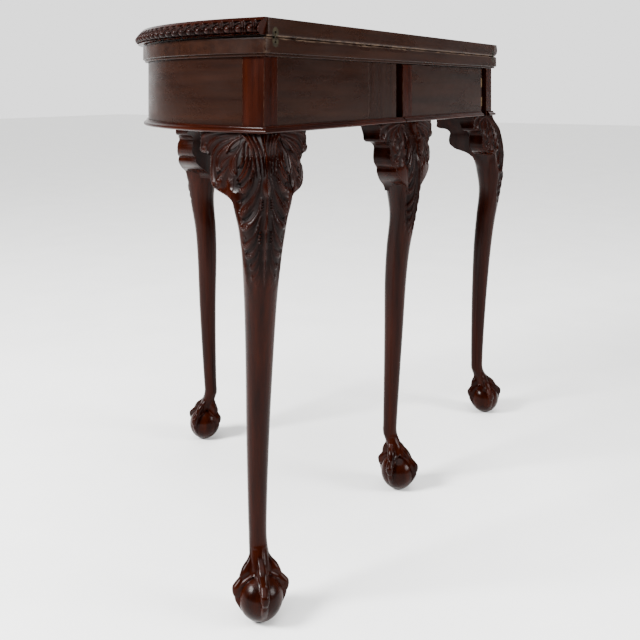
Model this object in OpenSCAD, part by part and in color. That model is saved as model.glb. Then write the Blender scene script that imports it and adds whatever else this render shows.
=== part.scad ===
// Demi-lune card table with a folding top and one gate leg.
// Origin: on the floor, below the middle of the closed table's bounding box.
// +X runs to the right along the back, +Y points out of the back, +Z is up. All sizes in mm.
// The curved front faces -Y. The gate leg swings out to +Y and the upper leaf folds over onto it.

/* [Table] */
// Height of the closed table
table_h = 750; // [690:1:800]
// Width of the frame along its straight back
frame_w = 818; // [640:2:960]
// Straight run at each end of the frame before the curve starts
straight_run = 9; // [4:1:30]
// Height of the rails and aprons
rail_h = 96; // [70:1:130]
// Thickness of the curved aprons
apron_t = 20; // [14:1:28]
// Thickness of the back rails and the gate rail
rail_t = 33; // [26:1:40]
// Thickness of the fixed rail inside the gate
inner_rail_t = 20; // [14:1:28]

/* [Leaves] */
// Thickness of the lower leaf
lower_leaf_t = 24; // [18:1:32]
// Thickness of the upper leaf
upper_leaf_t = 24; // [18:1:32]
// Overhang of the lower leaf past the frame
leaf_over = 8; // [4:1:16]
// Height of the narrow step under the lower leaf
step_h = 3.5; // [2:0.5:6]
// Set-in of the narrow step under the lower leaf
step_in = 3; // [1:0.5:5]
// Depth of the recess for the baize
baize_recess = 1; // [0.6:0.1:2]
// Thickness of the baize
baize_t = 0.8; // [0.4:0.1:1.5]
// Width of the wooden border round the baize
baize_border = 38; // [20:1:80]

/* [Carved edge] */
// How far the carved edge stands out past the lower leaf
gadroon_out = 12; // [6:1:18]
// Number of carved lobes round the edge
lobe_count = 74; // [40:2:90]
// Depth of the hollows between the lobes
lobe_depth = 3.2; // [1:0.1:5]
// Lean of each lobe from bottom to top, as a share of a lobe
lobe_lean = 0.9; // [0:0.05:1.5]
// Shadow gap between the carved edge and the lower leaf
gadroon_gap = 2.5; // [1:0.5:5]
// Width of the carved strip inside the leaf's edge
gadroon_seat = 5; // [3:1:12]
// How far the foot of the strip's cut ends is drawn back
end_slant = 4; // [0:0.5:8]

/* [Base moulding] */
// Height of the moulding along the bottom of the frame
moulding_h = 9; // [6:1:16]
// Projection of the moulding past the frame
moulding_out = 7; // [4:1:12]

/* [Legs] */
// Width of a corner post along the back
post_w = 30; // [24:1:40]
// Depth of every post from its outer face
post_d = 34; // [28:1:44]
// Half the width of a leg's knee block, where the ears join it
knee_half = 35; // [28:1:44]
// Projection of the knee past the frame's corner, along the diagonal
knee_out = 28; // [14:1:36]
// Drop of the fullest part of the knee below the frame
knee_drop = 76; // [50:1:110]
// Length of the carved knee below the frame
knee_len = 132; // [110:1:150]
// Radius of the leg below the carved knee
calf_r = 25; // [20:1:30]
// Flattening of a corner leg's calf on its inner side
calf_flat = 5; // [0:0.5:8]
// How much sooner a corner leg's knee turns round on its inner side
inner_rise = 18; // [0:1:30]
// Radius of the leg at mid height
shaft_r = 15.8; // [12:0.1:19]
// Radius of the ankle
ankle_r = 11.5; // [9:0.5:15]
// Set-in of the leg's axis at mid height, along the diagonal
shaft_in = 22; // [10:1:32]
// Set-in of the ankle, along the diagonal
ankle_in = 29; // [15:1:36]
// Set-in of the ball foot, along the diagonal
foot_in = 14; // [0:1:30]
// Bow of the fixed legs' shafts towards the front
shaft_bow = 4; // [0:1:12]
// Extra set-in of the gate leg
gate_leg_in = 3; // [0:1:12]
// Extra stand-out of the front leg
front_leg_out = 14; // [0:1:20]

/* [Feet] */
// Radius of the carved ball
ball_r = 28.5; // [22:0.5:32]
// Height of the claw knuckles above the floor
knuckle_z = 45; // [38:1:56]
// How far the claw knuckles stand out past the ball
claw_out = 9; // [4:0.5:12]
// Radius of the flat that the ball stands on
foot_flat_r = 7; // [3:0.5:12]

/* [Ears] */
// Reach of an ear from the leg's corner or centre line
ear_reach = 103; // [80:1:120]
// Extra reach of the small scroll on the ears beside the curved aprons
ear_side_more = 6; // [0:1:12]
// Depth of an ear at its small upper scroll
ear_step_h = 28; // [20:1:34]
// Reach of an ear in the notch under the small scroll
ear_notch = 71; // [60:1:90]
// Width of the small scroll's underside beside the notch
ear_notch_w = 12; // [6:1:20]
// Reach of an ear at its big scroll
ear_scroll = 77; // [64:1:96]
// Drop of the big scroll's fullest place below the frame
ear_scroll_at = 54; // [44:1:64]
// Drop of the big scroll's lower end below the frame
ear_h = 71; // [62:0.5:80]
// Drop of an ear's lower end, where it runs into the leg
ear_root = 87.5; // [82:0.5:100]
// Depth of an ear behind the frame's face, under the rail
ear_t = 31; // [22:1:34]
// Depth of an ear behind the frame's face at its scroll
ear_thin = 20; // [8:1:26]
// Stand-out of an ear's carving at its tip
ear_relief = 0.6; // [0.4:0.1:2]
// Hollow of an ear's tip above its small scroll
ear_tip = 3; // [1:0.5:5]
// Glue gap between a knee and its ears
ear_joint = 0.1; // [0.05:0.05:0.3]

/* [Gate] */
// Distance of the gate's pivot from the end of the frame
pivot_end = 45; // [43:1:110]
// Set-in of the gate's pivot from the back face
pivot_in = 19; // [14:1:22]
// Radius of the wooden knuckle barrel
barrel_r = 14; // [10:0.5:16]
// Depth of the housing that holds the fixed half of the knuckle
housing_d = 6; // [3:1:12]
// Width of the recess in which the knuckle turns
knuckle_gap = 33; // [30:1:40]
// Number of knuckle fingers, fixed and moving together
finger_count = 5; // [3:2:7]
// Clearance above and below each knuckle finger
finger_clear = 0.5; // [0.3:0.1:1.5]
// Radius of the steel knuckle pin
pin_r = 4; // [3:0.5:5]
// Radial clearance of the knuckle pin in the moving fingers
pin_clear = 0.05; // [0.02:0.01:0.1]
// Clearance between the gate and everything that it swings past
gate_clear = 1; // [0.5:0.1:2]
// Middle of the gate leg, from the middle of the back
gate_leg_x = -5; // [-60:1:40]
// Width of the finger gap beside the gate post
finger_gap = 25; // [16:1:40]
// Width of the upright-grained stop block
stop_block_w = 94; // [60:1:140]

/* [Leaf hinges] */
// Distance of each hinge from the leaf's end
hinge_in = 21.5; // [16:0.5:60]
// Width of a hinge plate's round lobe
plate_w = 14; // [12:0.5:18]
// Distance of a lobe's centre from the joint of the leaves
plate_at = 5.5; // [4:0.1:7]
// Depth of a hinge plate into the leaf
plate_d = 8; // [7:0.5:12]
// Distance of each hinge pin from the back edge and from the joint of the leaves
pin_set = 3.5; // [3:0.1:5]
// Radius of a hinge pin
hinge_pin_r = 1.1; // [0.8:0.1:1.5]
// Length of a hinge pin
hinge_pin_l = 12; // [8:0.5:13]
// Thickness of the hinge link
link_t = 3; // [2:0.5:5]
// Clearance at the sides of the hinge link
link_clear = 0.2; // [0.1:0.05:0.4]
// Gap that keeps the rounded back edges of the leaves apart
edge_gap = 0.3; // [0.2:0.05:0.6]

/* [Inner frame] */
// Width of the cross rail from the back to the front leg
brace_w = 26; // [18:1:40]
// Height of the cross rail
brace_h = 60; // [40:1:80]
// Leg length of the triangular corner blocks
block_w = 42; // [24:1:60]
// Height of the corner blocks
block_h = 70; // [40:1:90]

/* [Hidden] */
$fn = 96;
e = 0.01;
seat = 0.2;
radius = frame_w / 2;
beyond = 2 * frame_w;
pivot_x = radius - pivot_end;
frame_d = radius + straight_run;
curve_y = -straight_run;
split_z = table_h - upper_leaf_t;
rail_top = split_z - lower_leaf_t;
rail_bot = rail_top - rail_h;
leaf_r = radius + leaf_over;
back_y = leaf_over;
inner_rail_y = -rail_t - gate_clear;
well_y = inner_rail_y - inner_rail_t;
gate_top = rail_top - gate_clear;
gate_left = -pivot_x + knuckle_gap / 2;
gate_post_l = gate_leg_x - post_d / 2;
gate_post_r = gate_leg_x + post_d / 2;
stop_x = gate_post_r + finger_gap;
stop_end = stop_x + stop_block_w;
pin_y = -pivot_in;
finger_h = (gate_top - rail_bot) / finger_count;
hinge_x = leaf_r - hinge_in;
axis_y = back_y - pin_set;
lower_axis_z = split_z - pin_set;
upper_axis_z = split_z + pin_set;
round_r = pin_set - edge_gap / 2;
lobe_steps = 4;
ring_n = 24;
mahogany = [0.20, 0.07, 0.05];
dark_wood = [0.13, 0.05, 0.04];
brass = [0.66, 0.52, 0.28];
steel = [0.55, 0.55, 0.56];
baize = [0.10, 0.30, 0.18];
oak = [0.50, 0.38, 0.25];

// Helpers for smooth curves and skins.

function clamp(t) = min(max(t, 0), 1);
function ease(t) = let(c = clamp(t)) c * c * (3 - 2 * c);
function mix(a, b, t) = a + (b - a) * t;
function bump(z, at, w) = let(d = (z - at) / w) exp(-d * d);

// Smooth curve through [place, value] pairs, sorted by place.
function slope(k, i) = i == 0 || i == len(k) - 1 ? 0
    : (k[i + 1][1] - k[i - 1][1]) / (k[i + 1][0] - k[i - 1][0]);
function span_of(k, x, i = 0) = i >= len(k) - 2 || x < k[i + 1][0] ? i : span_of(k, x, i + 1);
function through(k, x) =
    x <= k[0][0] ? k[0][1] : x >= k[len(k) - 1][0] ? k[len(k) - 1][1] :
    let(i = span_of(k, x), w = k[i + 1][0] - k[i][0], t = (x - k[i][0]) / w)
    (2 * t * t * t - 3 * t * t + 1) * k[i][1] + (t * t * t - 2 * t * t + t) * w * slope(k, i)
    + (3 * t * t - 2 * t * t * t) * k[i + 1][1] + (t * t * t - t * t) * w * slope(k, i + 1);

// Middle of a ring of points.
function middle(ring) = [for (p = ring) 1 / len(ring)] * ring;

// Closed skin over a row of rings that all have the same number of points.
module loft(rings) {
    n = len(rings[0]);
    m = len(rings);
    points = [for (r = rings) each r, middle(rings[0]), middle(rings[m - 1])];
    sides = [for (i = [0 : m - 2], k = [0 : n - 1])
        let(a = i * n + k, b = i * n + (k + 1) % n, c = a + n, d = b + n)
        each [[a, c, b], [b, c, d]]];
    first = [for (k = [0 : n - 1]) [k, (k + 1) % n, m * n]];
    last = [for (k = [0 : n - 1]) [(m - 1) * n + (k + 1) % n, (m - 1) * n + k, m * n + 1]];
    polyhedron(points, concat(sides, first, last));
}

// Outline of a leaf or of the frame: half round at the front, straight at the back.
module half_round(r, back) {
    straight = max(back, curve_y) - curve_y;
    intersection() {
        union() {
            translate([0, curve_y]) circle(r);
            if (straight > 0) translate([-r, curve_y]) square([2 * r, straight]);
        }
        translate([-r - 1, curve_y - r - 1]) square([2 * r + 2, back - curve_y + r + 1]);
    }
}

// How far the curve of the frame has fallen away from its tangent.
function fall(s) = s <= 0 ? 0 : radius - sqrt(radius * radius - s * s);

// Legs: three fixed ones and one on the gate.

// Stand-out of the knee's front edge at each height.
function knee_edge(z) = through([
    [rail_bot - knee_len * 1.21, knee_out * 0.66], [rail_bot - knee_len * 0.83, knee_out * 0.92],
    [rail_bot - knee_drop, knee_out], [rail_bot - knee_drop * 0.395, knee_out * 0.68],
    [rail_bot, knee_out * 0.1]], z);

// Radius of the round part of the leg at each height.
function leg_r(z) = through([
    [78, ankle_r], [rail_bot * 0.17, ankle_r * 0.97], [rail_bot * 0.44, shaft_r],
    [rail_bot * 0.57, shaft_r * 1.17], [rail_bot * 0.66, calf_r * 0.84],
    [rail_bot * 0.75, calf_r], [rail_bot * 0.84, calf_r * 1.24]], z);

// Place of the leg's axis at each height, out from the frame's corner.
function leg_c(z) = through([
    [ball_r, -foot_in], [62, -foot_in * 1.3], [88, -ankle_in], [rail_bot * 0.17, -ankle_in],
    [rail_bot * 0.44, -shaft_in], [rail_bot * 0.57, -shaft_in * 0.87],
    [rail_bot * 0.66, -shaft_in * 0.68], [rail_bot * 0.75, -shaft_in * 0.3],
    [rail_bot * 0.84, -shaft_in * 0.25]], z);

// Knee block of a corner leg: a square whose outer corner is the front edge.
function corner_point(k, z) =
    let(q = ring_n / 4, b = knee_edge(z) / sqrt(2), s = floor(k / q), t = (k % q) / q)
    s == 0 ? [mix(b, -knee_half, t), b] : s == 1 ? [-knee_half, mix(b, -knee_half, t)] :
    s == 2 ? [mix(-knee_half, b, t), -knee_half] : [b, mix(-knee_half, b, t)];

// How far a middle leg's knee is moved with its shaft: not at all at the frame.
function knee_shift(z, shift) = shift * 0.6 * ease((rail_bot - z) / ear_scroll_at);

// Knee block of a middle leg: a prow in front and a rounded back.
function prow_front(v, z) = knee_edge(z) * (0.78 - 0.32 * abs(v) / knee_half) + 3;
function middle_point(k, z) =
    let(q = ring_n / 4, s = k < 2 * q ? k : ring_n - k, side = k < 2 * q ? -1 : 1,
        t = s / q, v = s <= q ? knee_half * min(t * 1.25, 1) : knee_half * sin(90 * (2 - t)),
        b = s <= q ? prow_front(v, z) * (t <= 0.8 ? 1 : 1 - 2.4 * (t - 0.8))
            : mix(prow_front(v, z) * 0.52, -post_d, sin(90 * (t - 1))))
    [side * v, b];

// Ball with four toes that grip it, as a radius at each height and angle.
function ball_ring(z) = let(d = (z - ball_r) / ball_r) ball_r * sqrt(max(1 - d * d, 0));
function foot_r(k, z) =
    let(q = ring_n / 4, off = min(k % q, q - k % q),
        ball = z < ball_r ? max(ball_ring(z), foot_flat_r) : ball_ring(z),
        cuff = through([[30, 0], [knuckle_z - 3, ball_r * 0.9], [knuckle_z + 5, ball_r * 0.86],
            [knuckle_z + 13, ball_r * 0.7], [knuckle_z + 21, ball_r * 0.5],
            [knuckle_z + 29, ankle_r * 1.03], [78, ankle_r]], z),
        toe = (off == 0 ? 1 : off == 1 ? 0.35 : 0)
            * (claw_out * bump(z, knuckle_z, 11) + claw_out * 0.45 * bump(z, knuckle_z + 16, 6)
            + claw_out * 0.6 * bump(z, knuckle_z - 20, 12)))
    max(ball, cuff) + toe * clamp(z / 8);

// Gentle bow of a fixed leg's shaft, none at the knee and half at the foot.
function leg_bow(z) = through([[0, 0.5], [60, 0.5], [rail_bot * 0.2, 1], [rail_bot * 0.4, 1],
    [rail_bot * 0.7, 0]], z);

function leg_point(k, z, corner, shift, bow) =
    let(turn = corner ? 45 : 90, a = turn + 360 * k / ring_n,
        c = leg_c(z) + shift + (corner ? 0 : 2 * bump(z, rail_bot * 0.75, 90)),
        dir = (corner ? [c, c] / sqrt(2) : [0, c]) - [0, bow * leg_bow(z)],
        inner = corner ? max(0, -cos(a - turn)) : 0,
        slim = corner ? calf_flat * inner : 2,
        r = z < 78 ? foot_r(k, z) : leg_r(z) - slim * bump(z, rail_bot * 0.75, 90),
        round = dir + r * [cos(a), sin(a)],
        knee = corner ? corner_point(k, z) : middle_point(k, z) + [0, knee_shift(z, shift)],
        m = ease((rail_bot - knee_drop - 6 + inner_rise * inner - z) / (knee_len * 0.35)),
        p = z < rail_bot - knee_len * 1.5 ? round : mix(knee, round, m))
    [p[0], p[1], z];

foot_levels = [0, 3, 8, 14, 21, 28, 35, 42, 48, 54, 60, 66, 72, 78];
shaft_levels = [for (t = [0.145, 0.17, 0.26, 0.35, 0.44, 0.52, 0.59, 0.66, 0.71, 0.75]) rail_bot * t];
knee_levels = [for (i = [9 : -1 : 0]) rail_bot - knee_len * i / 9];

// Carved cabriole leg below the frame, from the floor up to the rails.
module cabriole(corner, shift, bow) {
    loft([for (z = leg_levels) [for (k = [0 : ring_n - 1])
        leg_point(k, z, corner, shift, bow)]]);
}

// Everything inside the frame's outer surface, as high as the rails.
module frame_body() {
    translate([0, 0, rail_bot - 1]) linear_extrude(rail_h + 2) half_round(radius, 0);
}

module leg_right_back() {
    centred() color(mahogany) union() {
        translate([radius, 0, 0]) cabriole(true, 0, shaft_bow);
        intersection() {
            translate([radius - post_w, -post_d, rail_bot - seat])
                cube([post_w + 1, post_d, rail_h + seat]);
            frame_body();
        }
    }
}

module leg_left_back() {
    mirror([1, 0, 0]) leg_right_back();
}

module leg_front() {
    centred() color(mahogany) union() {
        translate([0, -frame_d, 0]) rotate(180) cabriole(false, front_leg_out, -shaft_bow);
        intersection() {
            translate([-post_d / 2, -frame_d - 1, rail_bot - seat]) cube([post_d, post_d + 1, rail_h + seat]);
            frame_body();
        }
    }
}

module gate_leg() {
    centred() color(mahogany) union() {
        translate([gate_leg_x, 0, 0]) intersection() {
            cabriole(false, -gate_leg_in, 0);
            translate([-beyond, -beyond, -1]) cube([2 * beyond, 2 * beyond, rail_bot - gate_clear + 1]);
        }
        translate([gate_post_l, -rail_t, rail_bot - gate_clear - seat])
            cube([post_d, rail_t, gate_top - rail_bot + gate_clear + seat]);
    }
}

// Ears: carved brackets that flank each knee under the frame.

// Outline of an ear from the frame down, as drop and reach: a small scroll at the tip, a notch,
// the big scroll, then a hollow that runs down into the leg. at is where the ear meets the leg,
// and tip is the reach of the small scroll.
function ear_outline(at, tip) = [
    [0, tip], [ear_step_h * 0.3, tip - ear_tip], [ear_step_h * 0.62, tip - ear_tip],
    [ear_step_h * 0.83, tip - ear_tip * 0.2], [ear_step_h * 0.95, tip - ear_tip],
    [ear_step_h, tip - ear_tip * 2.3], [ear_step_h * 1.04, ear_notch + ear_notch_w],
    [ear_step_h * 1.12, ear_notch + ear_notch_w * 0.45], [ear_step_h * 1.32, ear_notch],
    [mix(ear_step_h * 1.32, ear_scroll_at, 0.5), mix(ear_notch, ear_scroll, 0.6)],
    [ear_scroll_at, ear_scroll], [mix(ear_scroll_at, ear_h, 0.42), ear_scroll * 0.98],
    [mix(ear_scroll_at, ear_h, 0.72), ear_scroll * 0.92], [ear_h, ear_scroll * 0.8],
    [mix(ear_h, ear_root, 0.35), mix(ear_scroll, at, 0.67)],
    [mix(ear_h, ear_root, 0.7), mix(ear_scroll, at, 0.87)], [ear_root, at + ear_relief]];

// Stand-out of an ear's carved face. It starts level with the leg's knee.
function ear_face(s, z, at, corner, shift) =
    let(t = min((s - at) / (ear_reach - at), 1),
        root = corner ? knee_edge(z) / sqrt(2) : prow_front(knee_half, z) + knee_shift(z, shift))
    root * (1 - pow(t, 1.5)) + ear_relief;

// Back of an ear: full depth under the rail, thinner at the scroll and towards the leg's calf.
function ear_back(s, z, at) =
    let(drop = rail_bot - z)
    -mix(ear_t, ear_thin, ease((s - at) / (ear_scroll - at)) * ease(drop / ear_step_h * 0.7))
    * (1 - 0.4 * ease((drop - ear_scroll_at * 0.75) / ear_scroll_at));

// An ear seen in its own frame: s away from the leg, b out of the frame's face.
// bend is 0 on the straight back, 1 on the curve beside a corner, 2 beside the front leg.
function ear_place(s, b, z, bend) =
    bend == 0 ? [-s, b, z] : bend == 1 ? [b - fall(s - straight_run), -s, z] : [s, fall(s) - b, z];

module ear(corner, bend, top, shift) {
    at = knee_half + ear_joint;
    across = [0, 0.4, 0.8, 1];
    outline = ear_outline(at, ear_reach + (bend == 1 ? ear_side_more : 0));
    rings = [for (i = [len(outline) - 1 : -1 : 0])
        let(z = min(rail_bot - outline[i][0], top), reach = outline[i][1])
        [
            for (t = across) let(s = mix(at, reach, t))
                ear_place(s, ear_face(s, z, at, corner, shift), z, bend),
            for (k = [len(across) - 1 : -1 : 0]) let(s = mix(at, reach, across[k]))
                ear_place(s, ear_back(s, z, at), z, bend)
        ]];
    loft(bend != 1 ? rings : [for (r = rings) [for (k = [len(r) - 1 : -1 : 0]) r[k]]]);
}

module ear_right_rear() {
    centred() color(mahogany) translate([radius, 0, 0]) ear(true, 0, rail_bot, 0);
}

module ear_right_side() {
    centred() color(mahogany) translate([radius, 0, 0]) ear(true, 1, rail_bot, 0);
}

module ear_left_rear() {
    centred() color(mahogany) mirror([1, 0, 0]) translate([radius, 0, 0])
        ear(true, 0, rail_bot - gate_clear, 0);
}

module ear_left_side() {
    mirror([1, 0, 0]) ear_right_side();
}

module ear_front_right() {
    centred() color(mahogany) translate([0, -frame_d, 0]) ear(false, 2, rail_bot, front_leg_out);
}

module ear_front_left() {
    mirror([1, 0, 0]) ear_front_right();
}

module ear_gate_left() {
    centred() color(mahogany) translate([gate_leg_x, 0, 0]) ear(false, 0, rail_bot, -gate_leg_in);
}

module ear_gate_right() {
    centred() color(mahogany) translate([gate_leg_x, 0, 0]) mirror([1, 0, 0])
        ear(false, 0, rail_bot - gate_clear, -gate_leg_in);
}

// The parts are laid out from the frame's back face, then moved so that the origin is central.
leg_levels = concat(foot_levels, shaft_levels, knee_levels);
function furthest(corner, shift, bow) = max([for (z = leg_levels, k = [0 : ring_n - 1])
    leg_point(k, z, corner, shift, bow)[1]]);
front_reach = frame_d + max(furthest(false, front_leg_out, -shaft_bow), leaf_over + gadroon_out);
back_reach = max(furthest(true, 0, shaft_bow), furthest(false, -gate_leg_in, 0), leaf_over);
back_face_y = (front_reach - back_reach) / 2;

module centred() {
    translate([0, back_face_y, 0]) children();
}

// Frame: curved aprons, back rails, and the hidden rails and blocks inside.

// Curved apron between a corner post and the front post.
module apron_right() {
    centred() color(dark_wood) difference() {
        translate([0, curve_y, rail_bot]) rotate(-90) rotate_extrude(angle = 90)
            translate([radius - apron_t, 0]) square([apron_t, rail_h]);
        translate([-1, -frame_d - 1, rail_bot - 1]) cube([post_d / 2 + 1, post_d + 1, rail_h + 2]);
        translate([radius - post_w, -post_d, rail_bot - 1]) cube([post_w + 1, post_d, rail_h + 2]);
        translate([radius - apron_t - 1, -post_d, rail_bot - 1]) cube([apron_t + 2, post_d, rail_h + 2]);
    }
}

module apron_left() {
    mirror([1, 0, 0]) apron_right();
}

module inner_back_rail() {
    centred() color(oak) difference() {
        intersection() {
            translate([-radius, well_y, rail_bot]) cube([frame_w, inner_rail_t, rail_h]);
            translate([0, curve_y, rail_bot - 1]) cylinder(r = radius - apron_t, h = rail_h + 2);
        }
        translate([-pivot_x - barrel_r, inner_rail_y - housing_d, rail_bot - 1])
            cube([2 * barrel_r, housing_d + 1, rail_h + 2]);
    }
}

module outer_back_rail() {
    centred() color(dark_wood) translate([stop_end, inner_rail_y, rail_bot])
        cube([radius - post_w - stop_end, -inner_rail_y, rail_h]);
}

module stop_block() {
    centred() color(dark_wood) translate([stop_x, inner_rail_y, rail_bot])
        cube([stop_block_w, -inner_rail_y, rail_h]);
}

module cross_rail() {
    centred() color(oak) translate([-brace_w / 2, -frame_d + post_d, rail_top - brace_h])
        cube([brace_w, frame_d - post_d + well_y, brace_h]);
}

module corner_block_right() {
    reach = radius - apron_t;
    side = sqrt(reach * reach - pow(well_y - block_w - curve_y, 2));
    centred() color(oak) translate([0, 0, rail_top - block_h]) linear_extrude(block_h)
        intersection() {
            polygon([[side, well_y], [side - block_w, well_y], [side, well_y - block_w],
                [side + block_w, well_y - block_w], [side + block_w, well_y]]);
            translate([0, curve_y]) circle(reach);
        }
}

module corner_block_left() {
    mirror([1, 0, 0]) corner_block_right();
}

// Knuckle joint: wooden fingers of the gate rail and of a fixed block on one steel pin.

// One knuckle finger level, counted from the bottom.
module level(i) {
    translate([-beyond, -beyond, rail_bot + i * finger_h + finger_clear / 2])
        cube([2 * beyond, 2 * beyond, finger_h - finger_clear]);
}

module knuckle_barrel(r) {
    translate([-pivot_x, pin_y, rail_bot - 5]) cylinder(r = r, h = rail_h + 10);
}

// Fixed half: fingers 2 and 4, on a block that is glued to the inner rail.
module knuckle_block() {
    deep = pin_y - inner_rail_y;
    centred() color(oak) difference() {
        union() {
            translate([-pivot_x - barrel_r, inner_rail_y - housing_d, rail_bot])
                cube([2 * barrel_r, housing_d, rail_h]);
            for (i = [1 : 2 : finger_count - 2]) intersection() {
                union() {
                    knuckle_barrel(barrel_r);
                    translate([-pivot_x - barrel_r, inner_rail_y, rail_bot])
                        cube([2 * barrel_r, deep, rail_h]);
                }
                level(i);
            }
        }
        knuckle_barrel(pin_r);
    }
}

module knuckle_pin() {
    centred() color(steel) translate([-pivot_x, pin_y, rail_bot + finger_clear])
        cylinder(r = pin_r, h = gate_top - rail_bot - finger_clear);
}

// Gate rail with the moving fingers 1, 3 and 5 cut on its end.
module gate_rail() {
    centred() color(dark_wood) difference() {
        union() {
            difference() {
                translate([gate_left, -rail_t, rail_bot])
                    cube([gate_post_l - gate_left, rail_t, gate_top - rail_bot]);
                for (i = [1 : 2 : finger_count - 2])
                    intersection() {
                        knuckle_barrel(barrel_r + gate_clear);
                        translate([-beyond, -beyond, rail_bot + i * finger_h - finger_clear / 2])
                            cube([2 * beyond, 2 * beyond, finger_h + finger_clear]);
                    }
            }
            for (i = [0 : 2 : finger_count - 1]) intersection() {
                union() {
                    knuckle_barrel(barrel_r);
                    translate([-pivot_x, pin_y - barrel_r, rail_bot])
                        cube([knuckle_gap / 2 + 1, 2 * barrel_r, rail_h]);
                }
                translate([-beyond, -beyond, rail_bot + i * finger_h + finger_clear / 2])
                    cube([2 * beyond, 2 * beyond,
                        finger_h - (i == finger_count - 1 ? 0.5 : 1) * finger_clear]);
            }
        }
        knuckle_barrel(pin_r + pin_clear);
    }
}

// Base moulding: a small hollow-and-nose strip round the bottom of the frame.

// Section of the moulding: 0 is the frame's face, a hollow over a rounded nose.
module moulding_section() {
    difference() {
        union() {
            square([moulding_out * 0.55, moulding_h]);
            square([moulding_out * 0.7, moulding_h * 0.5]);
            translate([moulding_out * 0.62, moulding_h * 0.28]) circle(moulding_out * 0.38);
        }
        translate([moulding_out * 0.86, moulding_h * 0.95]) circle(moulding_out * 0.5);
        translate([-moulding_out, -moulding_h]) square([3 * moulding_out, moulding_h]);
    }
}

// Straight length of moulding along +X, with its face towards +Y.
module moulding_run(from, to, mitre) {
    difference() {
        translate([from, 0, rail_bot]) rotate([90, 0, 90]) linear_extrude(to - from) moulding_section();
        if (mitre) translate([radius, 0, rail_bot - 1]) rotate(-45)
            cube([60, 60, moulding_h + 2]);
    }
}

module moulding_right() {
    centred() color(mahogany) {
        translate([0, curve_y, rail_bot]) rotate(-90) rotate_extrude(angle = 90)
            translate([radius, 0]) moulding_section();
        difference() {
            translate([radius, curve_y, rail_bot]) mirror([0, 1, 0]) rotate([90, 0, 0])
                linear_extrude(moulding_out + straight_run + 1) moulding_section();
            translate([radius, 0, rail_bot - 1]) rotate(45) cube([60, 60, moulding_h + 2]);
        }
    }
}

module moulding_left() {
    mirror([1, 0, 0]) moulding_right();
}

module moulding_back() {
    centred() color(mahogany) moulding_run(gate_post_r + 3 * gate_clear, radius + moulding_out + 1, true);
}

module moulding_post() {
    centred() color(mahogany) mirror([1, 0, 0])
        moulding_run(radius - post_w + 3 * gate_clear, radius + moulding_out + 1, true);
}

module moulding_gate() {
    centred() color(mahogany) moulding_run(gate_left, gate_post_r, false);
}

// Leaves: the lower one is fixed, the upper one folds over.

// Rounds the meeting back arris about the hinge pin; up is 1 for the lower leaf, -1 for the upper.
module arris_cut(axis_z, up) {
    difference() {
        translate([-leaf_r - 30, axis_y, min(axis_z, axis_z + up * 40)]) cube([2 * leaf_r + 60, 40, 40]);
        translate([-leaf_r - 31, axis_y, axis_z]) rotate([0, 90, 0])
            cylinder(r = round_r, h = 2 * leaf_r + 62);
        translate([-leaf_r - 31, axis_y - 1, axis_z + (up > 0 ? -50 : 0)])
            cube([2 * leaf_r + 62, pin_set + 1, 50]);
    }
}

// Round lobe of a hinge plate, cut off at the joint; up is 1 below the joint, -1 above.
module plate_lobe(up, depth) {
    r = plate_w / 2;
    intersection() {
        translate([0, back_y - plate_d, split_z - up * plate_at]) rotate([-90, 0, 0])
            cylinder(r = r, h = depth, $fn = 24);
        translate([-r - 1, back_y - plate_d - 1, up > 0 ? split_z - plate_at - r - 1 : split_z])
            cube([plate_w + 2, depth + 2, plate_at + r + 1]);
    }
}

module hinge_places() {
    for (side = [-1, 1]) translate([side * hinge_x, 0, 0]) children();
}

module lower_leaf() {
    centred() color(dark_wood) difference() {
        union() {
            translate([0, 0, rail_top]) linear_extrude(step_h + e)
                half_round(leaf_r - step_in, back_y - step_in);
            translate([0, 0, rail_top + step_h]) linear_extrude(lower_leaf_t - step_h)
                half_round(leaf_r, back_y);
        }
        translate([0, 0, split_z - baize_recess]) linear_extrude(baize_recess + 1)
            half_round(leaf_r - baize_border, back_y - baize_border);
        arris_cut(lower_axis_z, 1);
        hinge_places() plate_lobe(1, plate_d + 1);
    }
}

module lower_baize() {
    centred() color(baize) translate([0, 0, split_z - baize_recess]) linear_extrude(baize_t)
        half_round(leaf_r - baize_border, back_y - baize_border);
}

module upper_leaf() {
    centred() color(dark_wood) difference() {
        translate([0, 0, split_z]) linear_extrude(upper_leaf_t)
            half_round(leaf_r - gadroon_seat, back_y);
        translate([0, 0, split_z - 1]) linear_extrude(baize_recess + 1)
            half_round(leaf_r - baize_border, back_y - baize_border);
        arris_cut(upper_axis_z, -1);
        hinge_places() plate_lobe(-1, plate_d + 1);
    }
}

module upper_baize() {
    centred() color(baize) translate([0, 0, split_z + baize_recess - baize_t]) linear_extrude(baize_t)
        half_round(leaf_r - baize_border, back_y - baize_border);
}

// Plain section of the carved edge, from its undercut foot to its top fillet.
edge_low = split_z + gadroon_gap;
edge_rise = upper_leaf_t - gadroon_gap;
edge_path = [[0, 0], [0.6, 0.02], [0.97, 0.18], [1, 0.38], [0.78, 0.62], [0.35, 0.82], [0, 1]];

// Carved edge at one place along the strip: lobe is the place counted in lobes. slant draws the
// lower part back along the strip, for its cut ends.
function edge_ring(at, dir, lobe, fade, slant) = [
    for (p = edge_path)
        let(h = p[1], swell = sin(180 * clamp(h / 0.86)), ph = lobe + lobe_lean * (h - 0.4),
            cut = lobe_depth * swell * pow(abs(cos(180 * ph)), 1.6) * fade,
            out = mix(gadroon_out * 0.1, gadroon_out, p[0]) - cut)
        [at[0] + dir[0] * out, at[1] + dir[1] * out - slant * (1 - h), edge_low + edge_rise * h],
    [at[0] - dir[0] * gadroon_seat, at[1] - dir[1] * gadroon_seat, table_h],
    [at[0] - dir[0] * gadroon_seat, at[1] - dir[1] * gadroon_seat - slant, edge_low]
];

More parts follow.
